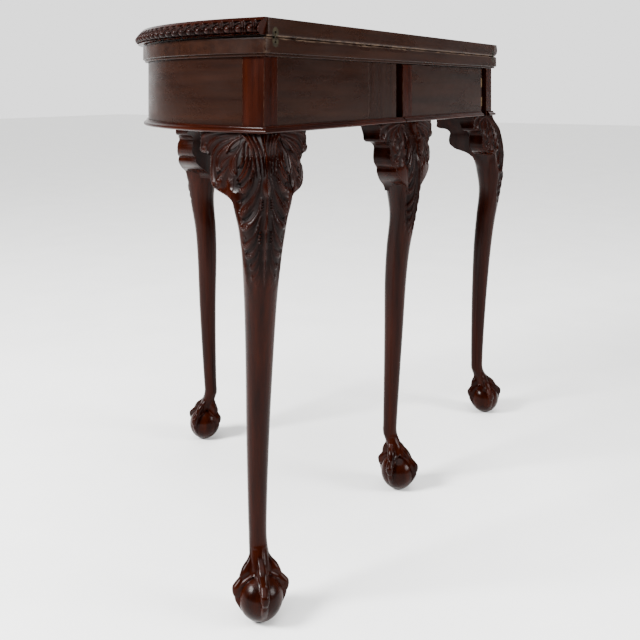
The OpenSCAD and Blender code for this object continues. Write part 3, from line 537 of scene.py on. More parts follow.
# %% Legs and their posts
CARVED_LEN = 214.0
PLACES = ring_places(140, 32)


def leg_heights(top):
    """Heights of a leg's rings: close together on the foot and the carving, wider on the shaft."""
    carved = RAIL_BOTTOM - CARVED_LEN
    return np.concatenate([np.arange(0, 88, 0.95), np.linspace(88, carved, 46)[:-1],
                           np.arange(carved, top - 0.6, 1.15), [top]])


def carved_leg(corner, shift, bow, top=RAIL_BOTTOM):
    """A leg with its knee carved. The drawing is laid over each half of the knee up to the side
    where the ear joins it. The square knee is cut straight in from its faces and the round leg
    along its normals; beyond the drawing's side the cut fades out."""
    z = leg_heights(top)
    points, square = leg_rings(corner, shift, bow, z, PLACES)
    k = from_front(PLACES)[None, :]
    side, turn_in = (6.0, 2.0) if corner else (4.8, 1.2)
    across = DRAWN_SIDE / side * np.abs(k)
    down = (RAIL_BOTTOM - z)[:, None]
    taken = np.zeros(points.shape[:2])
    low, high = np.searchsorted(z, RAIL_BOTTOM - CARVED_LEN), int((PLACES <= 8).sum())
    taken[low:, :high] = acanthus(np.minimum(across, DRAWN_SIDE)[:, :high], down[low:])
    taken *= mix(ease((62 - across) / 9), np.clip(1 - (np.abs(k) - side) / turn_in, 0, 1), square)
    facing = [ease(0.5 - k), ease(k + 0.5), 0 * k] if corner else [0 * k, 1 + 0 * k, 0 * k]
    way = mix(outward(points), np.stack(facing, -1), square[..., None])
    skin = shell(points - way * taken[..., None])
    relief = np.concatenate([(1 - taken / CARVED_TOP).ravel(), [1.0, 1.0]])
    return skin, skin[0][:, [2, 0, 1]], relief


def leg_piece(name, node, body, leg, post, **place):
    """Leg and post as one piece; the post is already in its place."""
    return wooden(name, [turned(leg, **place), post], body, node, 38)


post_curve = [(math.sqrt(RADIUS**2 - (y - CURVE_Y) ** 2), y) for y in (-POST_D, -26, -18, -9.01)]
post_inner = RADIUS - POST_W
post_outline = [(post_inner, -POST_D)] + post_curve + [(RADIUS, 0), (post_inner, 0)]
half_post = POST_D / 2
front_face = [(x, CURVE_Y - math.sqrt(RADIUS**2 - x * x))
              for x in (half_post, 8, 0, -8, -half_post)]
front_back = -FRAME_DEPTH + POST_D
front_outline = front_face + [(-half_post, front_back), (half_post, front_back)]
right_post, front_post = (board(rounded_section(outline, radius=0.6, hold=0.3), 2,
                                RAIL_BOTTOM, RAIL_TOP, soft=0.2)
                          for outline in (post_outline, front_outline))
gate_low, gate_high = GATE_LEG_X - half_post, GATE_LEG_X + half_post
gate_outline = [(gate_low, -RAIL_T), (gate_high, -RAIL_T), (gate_high, 0), (gate_low, 0)]
gate_bottom = RAIL_BOTTOM - GATE_CLEAR
gate_post = board(rounded_section(gate_outline), 2, gate_bottom, GATE_TOP)

corner_leg = carved_leg(True, 0.0, SHAFT_BOW)
front_leg = carved_leg(False, FRONT_LEG_OUT, -SHAFT_BOW)
gate_leg = carved_leg(False, -GATE_LEG_IN, 0.0, gate_bottom)
at_right, at_left = (RADIUS, 0, 0), (-RADIUS, 0, 0)
at_front, at_gate = (0, -FRAME_DEPTH, 0), (GATE_LEG_X, 0, 0)
wood_pieces = {}
wood_pieces["upright"] = [
    leg_piece("carved_leg_right_back", "leg_right_back", "frame", corner_leg, right_post,
              move=at_right),
    leg_piece("carved_leg_left_back", "leg_left_back", "frame", corner_leg,
              turned(right_post, flip=True), flip=True, move=at_left),
    leg_piece("carved_leg_front", "leg_front", "frame", front_leg, front_post,
              half_turn=True, move=at_front),
    leg_piece("carved_leg_gate", "gate_leg", "gate", gate_leg, gate_post, move=at_gate),
]

# %% [markdown]
# ## Ears
#
# An ear is a small bracket glued to each side of a knee, under the frame. Its lower edge is a
# round scroll near the leg and a small step at the tip, and behind it is hollowed away. Its surface
# runs along the ear with one parameter and round its section with the other: up the carved face
# and down the plain back.

# %% Ears
EAR_AT = KNEE_HALF + 0.1
# The ear's plain back gets a relief value below 1, so the wood darkens it: painted shade.
EAR_CUT, EAR_EDGE_R, EAR_BACK_SHADE_RELIEF = 0.85, 2.0, 0.6


def ear_outline(more, root):
    """An ear's lower outline as (drop, reach) keys: the small scroll, the notch, the big scroll,
    and a hollow that runs down into the leg. The deeper its root, the fuller is that hollow."""
    deep = ease((root - EAR_ROOT[1]) / (EAR_ROOT[2] - EAR_ROOT[1]))
    tip, notch, scroll, step = EAR_REACH + more, EAR_NOTCH + more, EAR_SCROLL + more, EAR_STEP_H
    small = [(0, tip), (step * 0.3, tip - EAR_TIP), (step * 0.62, tip - EAR_TIP),
             (step * 0.83, tip - EAR_TIP * 0.2), (step * 0.95, tip - EAR_TIP),
             (step, tip - EAR_TIP * 2.3)]
    hook = [(step * 1.04, notch + EAR_NOTCH_W), (step * 1.12, notch + EAR_NOTCH_W * 0.45),
            (step * 1.32, notch), (mix(step * 1.32, EAR_SCROLL_AT, 0.5), mix(notch, scroll, 0.6))]
    big = [(EAR_SCROLL_AT, scroll), (mix(EAR_SCROLL_AT, EAR_H, 0.42), scroll * 0.98),
           (mix(EAR_SCROLL_AT, EAR_H, 0.72), scroll * 0.92), (EAR_H, scroll * 0.83)]
    hollow = [(mix(EAR_H, root, part), mix(scroll, EAR_AT, mix(thin, full, deep)))
              for part, thin, full in ((0.18, 0.5, 0.3), (0.45, 0.77, 0.62), (0.75, 0.93, 1.1))]
    return small + hook + big + hollow + [(root, mix(EAR_AT + 0.6, EAR_AT - EAR_ROOT_IN, deep))]


def ear_surface(corner, bend, top, shift=0.0):
    """One ear, in the layout of its leg's corner or face. Each ring lies at one drop: out along
    the carved face to the outline, and home along the back. The face starts level with the knee
    and falls to the frame's face as the 1.5th power of the way out; its edge is rounded over as a
    circle. bend: 0 on the straight back, 1 on the curve beside a corner, 2 beside the front leg."""
    root = EAR_ROOT[bend] if corner else EAR_ROOT[2]
    keys = ear_outline(EAR_SIDE_MORE if bend == 1 else 0, root)
    down = np.concatenate([np.linspace(RAIL_BOTTOM - top, 25, 27), np.linspace(25.4, 32, 22),
                           np.linspace(32.8, 66, 40), np.linspace(66.7, root, 22)])[:, None]
    reach, tip = through(keys, down), keys[0][1]
    out = np.concatenate([np.linspace(0, 0.96, 100), np.linspace(0.967, 1, 8)])[None, :]
    home = np.linspace(1, 0, 8)[None, :]
    inner = EAR_AT if corner else EAR_AT - EAR_START_IN
    s = inner + (reach - inner) * out
    z = RAIL_BOTTOM - down
    start = knee_edge(z) / np.sqrt(2) if corner else prow(KNEE_HALF, z) + knee_shift(z, shift)
    face = start * (1 - np.clip((s - EAR_AT) / (EAR_REACH - EAR_AT), 0, 1) ** 1.5) + 0.6
    drawn = DRAWN_SIDE + (s - EAR_AT) * (DRAWN_TIP - DRAWN_SIDE) / (tip - EAR_AT)
    taken = EAR_CUT * acanthus(drawn, down)
    rim = np.linspace(0, root, 500)
    edge = np.hypot(s[..., None] - through(keys, rim), down[..., None] - rim).min(-1)
    inside = np.clip(edge / EAR_EDGE_R, 0, 1)
    over = EAR_EDGE_R * (1 - np.sqrt(np.clip(1 - (1 - inside) ** 2, 0, 1)))
    lean = (EAR_SIDE_LEAN if bend == 1 else 0) * (reach - EAR_AT) / (tip - EAR_AT)
    back_s = inner + (reach - lean - inner) * home
    kind = 0 if corner else 1
    thinner = ease((back_s - EAR_AT) / (EAR_SCROLL - EAR_AT)) * ease(down / EAR_STEP_H * 0.7)
    back = -mix(EAR_T, EAR_THIN[kind], thinner)
    back = back * (1 - EAR_BACK_IN[kind] * ease((down - EAR_SCROLL_AT * 0.75) / EAR_SCROLL_AT))
    s, b = np.concatenate([s, back_s], 1), np.concatenate([face - taken - over, back], 1)
    z = z + 0 * s
    run = np.clip(s + CURVE_Y, 0, None) if bend == 1 else s
    fall = RADIUS - np.sqrt(RADIUS**2 - run**2)
    points = np.stack([(-s, b, z), (b - fall, -s, z), (s, fall - b, z)][bend], -1)
    skin = shell(points)
    # The plain back gets the low back relief, which paints shade on it; the middles of the two ends
    # get 0.5.
    relief = np.concatenate([1 - taken / CARVED_TOP, np.full(back.shape, EAR_BACK_SHADE_RELIEF)], 1)
    return skin, skin[0][:, [2, 0, 1]], np.concatenate([relief.ravel(), [0.5, 0.5]])


def ear_piece(node, body, ear, **place):
    """One ear in its place; the piece is named after the node that it stands for."""
    return wooden("carved_" + node, [turned(ear, **place)], body, node, 38)


rear_ear = ear_surface(True, 0, RAIL_BOTTOM)
low_rear_ear = ear_surface(True, 0, gate_bottom)
side_ear = ear_surface(True, 1, RAIL_BOTTOM)
front_ear = ear_surface(False, 2, RAIL_BOTTOM, FRONT_LEG_OUT)
gate_ear = ear_surface(False, 0, RAIL_BOTTOM, -GATE_LEG_IN)
low_gate_ear = ear_surface(False, 0, gate_bottom, -GATE_LEG_IN)
wood_pieces["upright"] += [
    ear_piece(node, body, ear, flip=flip, move=move) for node, body, ear, flip, move in [
        ("ear_right_rear", "frame", rear_ear, False, at_right),
        ("ear_right_side", "frame", side_ear, False, at_right),
        ("ear_left_rear", "frame", low_rear_ear, True, at_left),
        ("ear_left_side", "frame", side_ear, True, at_left),
        ("ear_front_right", "frame", front_ear, False, at_front),
        ("ear_front_left", "frame", front_ear, True, at_front),
        ("ear_gate_left", "gate", gate_ear, False, at_gate),
        ("ear_gate_right", "gate", low_gate_ear, True, at_gate)]]

# %% [markdown]
# ## Aprons, rails and the base moulding
#
# The curved aprons are bent boards between the posts, so their section is carried along the arc and
# their grain follows the curve. The back is made of straight boards: a long rail with its grain
# lying down, then a block whose grain stands up. A small moulding with a hollow over a rounded nose
# runs round the bottom. It is mitred at the back corners, which a path does by itself when its
# outward vector at the corner is the sum of the two sides' vectors.

# %% Aprons and back rails
def upright_section(thick, **rounding):
    """Rounded section of a board that stands between the frame's bottom and top."""
    return rounded_section([(-thick, RAIL_BOTTOM), (0, RAIL_BOTTOM), (0, RAIL_TOP),
                            (-thick, RAIL_TOP)], **rounding)


apron_from = -math.degrees(math.asin((POST_D + CURVE_Y) / RADIUS))
apron_to = -math.degrees(math.acos(half_post / RADIUS))
apron_path, apron_normal = front_curve(RADIUS, apron_from, apron_to, 120)


def to_posts(rings):
    """Cuts the apron's ends square to the posts that they meet."""
    rings[..., 1] = np.minimum(rings[..., 1], -POST_D)
    rings[..., 0] = np.maximum(rings[..., 0], half_post)
    return rings


apron = swept(upright_section(APRON_T, radius=0.5, hold=0.4), apron_path, apron_normal, to_posts)
long_rail = board(upright_section(POST_D), 0, STOP_END, post_inner, soft=0.3)
block_outline = [(STOP_X, -POST_D), (STOP_END, -POST_D), (STOP_END, 0), (STOP_X, 0)]
block_section = rounded_section(block_outline)
stop_block = board(block_section, 2, RAIL_BOTTOM, RAIL_TOP)
wood_pieces["rails"] = [
    wooden("apron_right_board", [apron], "frame", "apron_right"),
    wooden("apron_left_board", [turned(apron, flip=True)], "frame", "apron_left"),
    wooden("back_rail_board", [long_rail], "frame", "outer_back_rail"),
    wooden("stop_block_board", [stop_block], "frame", "stop_block"),
]

# %% Base moulding
MOULD_H, MOULD_OUT = 9.0, 7.0


def moulding_profile():
    """Section of the moulding as (stand-out, height): a rounded nose below, an arc of a hollow
    above it, and a narrow top edge against the frame."""
    nose = np.radians(np.linspace(-80, 62, 9))
    hollow = np.radians(np.linspace(-128, -188, 6))
    points = [(0, 0), (MOULD_OUT * 0.62, 0)]
    points += [(MOULD_OUT * (0.62 + 0.38 * c), MOULD_H * 0.28 + MOULD_OUT * 0.38 * s)
               for c, s in zip(np.cos(nose), np.sin(nose)) if s > -0.9]
    points += [(MOULD_OUT * (0.86 + 0.5 * c), MOULD_H * 0.95 + MOULD_OUT * 0.5 * s)
               for c, s in zip(np.cos(hollow), np.sin(hollow))]
    return np.array(points + [(MOULD_OUT * 0.3, MOULD_H), (0, MOULD_H)]) + [0, RAIL_BOTTOM]


mould = moulding_profile()
arc_path, arc_normal = front_curve(RADIUS, 0, -90, 150)
side_path = np.concatenate([[(RADIUS, 0.0), (RADIUS, -1.0)], arc_path])
side_normal = np.concatenate([[(1.0, 1.0), (1.0, 0.0)], arc_normal])
side_normal[1] = (1.0, 0.0)
side_moulding = swept(mould, side_path, side_normal)


def back_moulding(start, end, mitre):
    """Straight run of moulding along the back, from one x to another; a mitred end leans out."""
    path = np.array([(start, 0.0), (end - 0.5, 0.0), (end, 0.0)])
    normal = np.array([(0.0, 1.0), (0.0, 1.0), (1.0 if mitre else 0.0, 1.0)])
    path = np.concatenate([path[:1], np.linspace(path[0], path[1], 12)[1:-1], path[1:]])
    normal = np.concatenate([normal[:1], np.repeat(normal[:1], 10, 0), normal[1:]])
    return swept(mould, path, normal)


back_strip = back_moulding(gate_high + 3 * GATE_CLEAR, RADIUS, True)
post_strip = turned(back_moulding(post_inner + 3 * GATE_CLEAR, RADIUS, True), flip=True)
wood_pieces["moulding"] = [
    wooden(f"moulding_{place}_strip", [strip], body, "moulding_" + place, 50)
    for place, strip, body in [
        ("right", side_moulding, "frame"), ("left", turned(side_moulding, flip=True), "frame"),
        ("back", back_strip, "frame"), ("post", post_strip, "frame"),
        ("gate", back_moulding(GATE_LEFT, gate_high, False), "gate")]]

# %% [markdown]
# ## Leaves
#
# Each leaf is a stack of half-round outlines: one parameter runs round the outline, the other from
# the middle of the top, over the edge, to the middle of the underside. The back arrises that meet
# at the hinge are rounded about the hinge pins, so that the leaf can roll open. The baize lies in a
# shallow recess in each playing surface.

# %% Outlines of the leaves
BORDER, RECESS = 38.0, 1.0
PIN_SET, ROUND_R = 3.5, 3.35
STEP_H, STEP_IN = 3.5, 3.0
GADROON_SEAT = 5.0


def half_outline(radius, back, z, count=260, soft=1.2):
    """Half-round outline at one height: the straight back edge with its two hinge pockets, a
    rounded corner, a short straight end, and the front arc from right to left."""
    deep = PLATE_R**2 - (abs(z - SPLIT) - PLATE_AT) ** 2
    wide = math.sqrt(max(deep, 0.3))
    pocket = np.array([-1 - 0.02 / wide, -1, -0.5, 0, 0.5, 1, 1 + 0.02 / wide]) * wide
    cut = np.concatenate([[0], np.ones(5), [0]]) * (deep > 0.3)
    fit = min(1.0, (radius - soft - 3.5) / (HINGE_X + PLATE_R))
    half = np.concatenate([np.linspace(0, HINGE_X - PLATE_R - 2, 21), HINGE_X + pocket,
                           [HINGE_X + PLATE_R + 1]]) * fit
    cut = np.concatenate([np.zeros(21), cut, [0]])
    half, cut = np.append(half, radius - soft), np.append(cut, 0)
    x, cut = np.concatenate([-half[:0:-1], half]), np.concatenate([cut[:0:-1], cut])
    floor_y = LEAF_BACK - PLATE_D - 0.02 * (LEAF_BACK - back)
    y = np.where(cut > 0, np.minimum(back, floor_y), back)
    low = min(back - soft - 0.1, CURVE_Y)
    side = np.array([[radius - soft * 0.3, back - soft * 0.3], [radius, back - soft]])
    down = np.stack([np.full(4, float(radius)), np.linspace(back - soft, low, 6)[1:5]], -1)
    right = np.concatenate([side, down])
    first = math.asin(max(-1.0, (low - CURVE_Y) / radius))
    a = np.linspace(first, -np.pi - first, count)
    arc = np.stack([radius * np.cos(a), CURVE_Y + radius * np.sin(a)], -1)
    if low < CURVE_Y:
        end_x = radius * np.cos(first)
        set_in = soft - np.append(side[:, 0] - radius + soft, [soft] * 4)
        right[:, 0] = np.minimum(right[:, 0], end_x - set_in)
        x = x * min(1.0, (end_x - soft) / (radius - soft))
    ring = np.concatenate([np.stack([x, y], -1), right, arc, (right * [-1, 1])[::-1]])
    return np.concatenate([ring, np.full((len(ring), 1), z)], -1)


def leaf_shell(levels):
    """Leaf from (curve inset, back inset, height) levels, from the middle of one face to the middle
    of the other. Its back arris at the joint and its back corners are rubbed pale."""
    rings = np.array([half_outline(LEAF_R - c, LEAF_BACK - b, z) for c, b, z in levels])
    skin = shell(rings)
    x, y, z = skin[0].T
    arris = ease(1 - np.abs(np.abs(z - SPLIT) - 1.5) / 1.8) * (y > LEAF_BACK - 3)
    corner = ease(1 - np.hypot(np.abs(x) - LEAF_R, y - LEAF_BACK) / 2.4)
    return skin, skin[0].copy(), 1 + np.maximum(arris, 0.4 * corner)


def rounded_back(flip):
    """Back arris of a leaf, rounded about its hinge pin: a quarter circle from the playing face
    to the back. flip is 1 for the lower leaf and -1 for the upper one."""
    a = np.radians(np.linspace(0, 90, 8))
    pin = SPLIT - flip * PIN_SET
    return [(max(0.0, 0.7 * (1 - math.sin(t))), PIN_SET - ROUND_R * math.sin(t),
             pin + flip * ROUND_R * math.cos(t)) for t in a]


# Both leaves share the playing face, as (curve inset, back inset, depth): baize recess and border.
playing = [(c, c, -RECESS) for c in (BORDER + 6, BORDER + 0.4, BORDER)]
playing += [(c, c, 0) for c in (BORDER, BORDER - 0.5, 6)]
playing += [(1.4, PIN_SET + 0.9, 0), (0.7, PIN_SET + 0.1, -0.05)]
POCKET_STEPS = (5.0, 7.5, 9.3, 10.8, 11.8, 12.3, 12.6)
step_top = RAIL_TOP + STEP_H
lower = [(c, b, SPLIT + z) for c, b, z in playing] + rounded_back(1)
lower += [(0, 0, SPLIT - d) for d in POCKET_STEPS]
lower += [(c, c, z) for c, z in [
    (0, step_top + 1.2), (0, step_top + 0.5), (0.5, step_top), (STEP_IN - 0.6, step_top),
    (STEP_IN, step_top - 0.2), (STEP_IN, RAIL_TOP + 0.8), (STEP_IN, RAIL_TOP + 0.3),
    (STEP_IN + 0.3, RAIL_TOP), (STEP_IN + 1, RAIL_TOP), (60, RAIL_TOP)]]
seat = GADROON_SEAT  # the upper leaf's edge stands this far inside the gadroon's ground
upper = [(c + seat if c < 2 else c, b, SPLIT - z) for c, b, z in playing]
upper += [(c + seat, b, z) for c, b, z in rounded_back(-1)]
upper += [(seat, 0, SPLIT + d) for d in POCKET_STEPS]
upper += [(seat, b, TABLE_TOP - d) for b, d in ((0, 1.4), (0, 0.7), (0.2, 0.2), (0.7, 0))]
upper += [(seat + 0.6, 1.4, TABLE_TOP), (60, 60, TABLE_TOP)]
wood_pieces["leaves"] = [
    wooden("lower_leaf_board", [leaf_shell(lower)], "frame", "lower_leaf", sharp=48),
    wooden("upper_leaf_board", [leaf_shell(upper)], "top_leaf", "upper_leaf", sharp=48),
]

# %% [markdown]
# ## The gadroon edge
#
# Gadrooning is a row of leaning, swelling lobes, here one for every 18 mm of the curved edge. The
# carver leaves a round drop standing low down, with two thin ridges curling over it. The edge is a
# plain section (small fillet at the foot, round swell, hollow under the set-in top) carried round
# the curve. The lobes are a height field on it that repeats with the place along the edge, and they
# lean away from the middle of the front on both sides.

# %% Lobes as a height field
LOBES, LOBE_STEPS = 74, 24
GADROON_OUT, TOP_OUT, GADROON_GAP = 12.0, 1.2, 2.5
LOBE_DEPTH, END_SLANT = 4.2, 4.0
LOBE_LEN = np.pi * LEAF_R / LOBES
DROP_AT, DROP_SIZE = 0.35, (0.30, 0.28)
RIDGE_WIDTHS, RIDGE_H = (0.075, 0.065), 0.8
CURLS = [[(-0.30, 0.60), (0.0, 0.73), (0.28, 0.60), (0.42, 0.40), (0.40, 0.20), (0.30, 0.06)],
         [(0.06, 0.78), (0.38, 0.70), (0.56, 0.52), (0.61, 0.30), (0.54, 0.10)]]


def lobe_relief(u, h):
    """How far the lobes stand above the ground, from 0 to 1; u counts lobes along the edge and h
    runs from its foot to its top. The drop is half an ellipsoid; each ridge is round in section,
    so its height is the root of 1 minus the square of the distance from its middle line."""
    u = (u + 0.45) % 1.0 - 0.45
    relief = np.zeros(np.broadcast(u, h).shape)
    for moved in (-1.0, 0.0, 1.0):
        v = u + moved
        off = (v / DROP_SIZE[0]) ** 2
        drop = np.sqrt(np.clip(1 - off - ((h - DROP_AT) / DROP_SIZE[1]) ** 2, 0, 1))
        relief = np.maximum(relief, drop)
        for curl, width in zip(CURLS, RIDGE_WIDTHS):
            line = curve_points(curl, 40)
            apart = np.min((v[..., None] - line[:, 0]) ** 2 + (h[..., None] - line[:, 1]) ** 2, -1)
            ridge = RIDGE_H * np.sqrt(np.clip(1 - apart / width**2, 0, 1))
            relief = np.maximum(relief, ridge)
    return relief


def gadroon_shell():
    """The edge as rings across it, 24 to a lobe, from the foot over the swell to the top and back
    inside the leaf. Its two ends are straight, and cut at a slant."""
    low, rise = SPLIT + GADROON_GAP, TABLE_TOP - SPLIT - GADROON_GAP
    h = np.concatenate([[0, 0.015, 0.055, 0.07, 0.085, 0.1], np.linspace(0.13, 0.79, 25),
                        [0.82, 0.86, 0.9, 0.94, 0.97, 1]])
    stand = through([(0, 0.50), (0.015, 0.62), (0.055, 0.64), (0.07, 0.56), (0.10, 0.70),
                     (0.16, 0.92), (0.3, 1.0), (0.4, 0.99), (0.5, 0.92), (0.62, 0.77),
                     (0.72, 0.58), (0.82, 0.36), (0.9, 0.19), (0.96, 0.07), (1, 0)], h)
    straight = LEAF_BACK - 0.3 - CURVE_Y
    d = np.array([0.0, 0.4, 1.2, 2.2, 3.3, 4.5, 5.8, 7.1, 8.4, 9.7, 11.0, 12.3, 13.6, 14.9])
    count = LOBES * LOBE_STEPS
    a = -np.pi * np.arange(count + 1) / count
    arc = np.stack([LEAF_R * np.cos(a), CURVE_Y + LEAF_R * np.sin(a)], -1)
    end = np.stack([np.full(len(d), LEAF_R), CURVE_Y + straight - d], -1)
    path = np.concatenate([end, arc, (end * [-1, 1])[::-1]])
    flat_way = np.tile([1.0, 0.0], (len(d), 1))
    normal = np.concatenate([flat_way, np.stack([np.cos(a), np.sin(a)], -1), -flat_way])
    past = (d - straight) / LOBE_LEN
    place = np.concatenate([past, np.arange(count + 1) / LOBE_STEPS, LOBES - past[::-1]])
    to_end = np.concatenate([d, np.full(count + 1, straight), d[::-1]])[:, None]
    to_middle = -np.minimum(place, LOBES - place)[:, None]
    relief = lobe_relief(to_middle, h[None, :] + 0 * place[:, None])
    window = (ease(h / 0.09) * ease((0.84 - h) / 0.12))[None, :] * ease(to_end / 3.0)
    cut = LOBE_DEPTH * window * (1 - relief)
    out = mix(TOP_OUT, GADROON_OUT, stand)[None, :] - cut
    height = np.concatenate([h, [1.0, 0.0]])
    out = np.concatenate([out, np.full((len(path), 2), -GADROON_SEAT)], 1)
    plan = path[:, None, :] + normal[:, None, :] * out[..., None]
    plan[..., 1] -= END_SLANT * (1 - height)[None, :] * (1 - to_end / straight)
    z = np.broadcast_to(low + rise * height, out.shape)
    rings = np.concatenate([plan, z[..., None]], -1)
    along = np.broadcast_to(place[:, None] * LOBE_LEN, out.shape)
    grain = np.stack([along, z, 0 * out], -1).reshape(-1, 3)
    grain = np.concatenate([grain, grain[:1], grain[-1:]])
    hollow = np.concatenate([1 - cut / LOBE_DEPTH, np.ones((len(path), 2))], 1).ravel()
    return shell(rings), grain, np.concatenate([hollow, [1, 1]])


gadroon_piece = wooden("gadroon_carving", [gadroon_shell()], "top_leaf", "gadroon_edge",
                       40)

# %% [markdown]
# ## Baize
#
# The photograph shows the table closed, so its playing surfaces are what such tables have: green
# wool baize laid in the recess of each leaf. It is a flat sheet, cut to a half circle. The sheet
# is a surface of rings from its middle to its edge, and its nap comes from the material.

# %% Two sheets of baize
BAIZE_T, BAIZE_GAP = 0.8, 0.2


def baize_sheet(name, node, body, low, high):
    """A thin closed half-round sheet between two heights, with a slightly rounded cut edge."""
    levels = [(14, low), (0.6, low), (0.15, low + 0.1), (0.05, (low + high) / 2),
              (0.15, high - 0.1), (0.6, high), (14, high)]
    rings = [half_outline(LEAF_R - BORDER - inset - BAIZE_GAP,
                          LEAF_BACK - BORDER - inset - BAIZE_GAP, z) for inset, z in levels]
    skin = shell(np.array(rings))
    sheet = make_piece(name, [skin], body, node, 60, {"grain": skin[0] * MM})
    return sheet


lower_baize = baize_sheet("lower_baize_sheet", "lower_baize", "frame",
                          SPLIT - RECESS, SPLIT - RECESS + BAIZE_T)
upper_baize = baize_sheet("upper_baize_sheet", "upper_baize", "top_leaf",
                          SPLIT + RECESS - BAIZE_T, SPLIT + RECESS)

# %% [markdown]
# ## Wood, brass, steel and baize
#
# Old polished mahogany is dark red-brown, with long fine streaks, short open pores and a soft
# shellac gloss. Carved hollows hold old wax and look almost black, while high points are rubbed
# paler. All of it is built from noise that is stretched along the grain: pieces made here carry a
# `grain` place and a `relief` value for it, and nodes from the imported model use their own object
# coordinates.

# %% Node helpers
def new_material(name):
    """Material with an empty node tree but for its shader; returns it with the tree and shader."""
    material = bpy.data.materials.new(name)
    material.use_nodes = True
    return material, material.node_tree, material.node_tree.nodes["Principled BSDF"]


def node(tree, kind, **values):
    """Adds a node; values set its properties, or its inputs by name with _ for spaces."""
    made = tree.nodes.new(kind)
    for key, value in values.items():
        if hasattr(made, key):
            setattr(made, key, value)
        else:
            made.inputs[key.replace("_", " ")].default_value = value
    return made


def stretched(tree, place, scale, size=1.0, detail=4.0, rough=0.55):
    """Noise whose pattern is stretched by the three scale values along the piece's own grain."""
    mapping = node(tree, "ShaderNodeMapping")
    mapping.inputs["Scale"].default_value = scale
    tree.links.new(place, mapping.inputs["Vector"])
    noise = node(tree, "ShaderNodeTexNoise", Scale=size, Detail=detail, Roughness=rough)
    tree.links.new(mapping.outputs["Vector"], noise.inputs["Vector"])
    return noise.outputs["Fac"]


def ramp(tree, value, stops):
    """Colour ramp from (place, colour) stops."""
    made = node(tree, "ShaderNodeValToRGB")
    elements = made.color_ramp.elements
    while len(elements) < len(stops):
        elements.new(0.5)
    for element, (at, colour) in zip(elements, stops):
        element.position = at
        element.color = (*colour, 1.0) if len(colour) == 3 else colour
    tree.links.new(value, made.inputs["Fac"])
    return made.outputs["Color"]


def blended(tree, factor, a, b, how="MIX"):
    """Mix of two colours; each is a socket or a plain colour, and so is the factor."""
    made = node(tree, "ShaderNodeMix", data_type="RGBA", blend_type=how)
    for socket, value in ((made.inputs[0], factor), (made.inputs[6], a), (made.inputs[7], b)):
        if isinstance(value, bpy.types.NodeSocket):
            tree.links.new(value, socket)
        else:
            socket.default_value = value if isinstance(value, float) else (*value, 1.0)
    return made.outputs[2]


# %% Mahogany
BLACK, WHITE = (0.0, 0.0, 0.0), (1.0, 1.0, 1.0)
PORE, HALF_PORE = (0.002, 0.001, 0.001), (0.5, 0.5, 0.5)
MATT_HOLLOW, MATT_WORN = (0.5, 0.5, 0.5), (0.6, 0.6, 0.6)


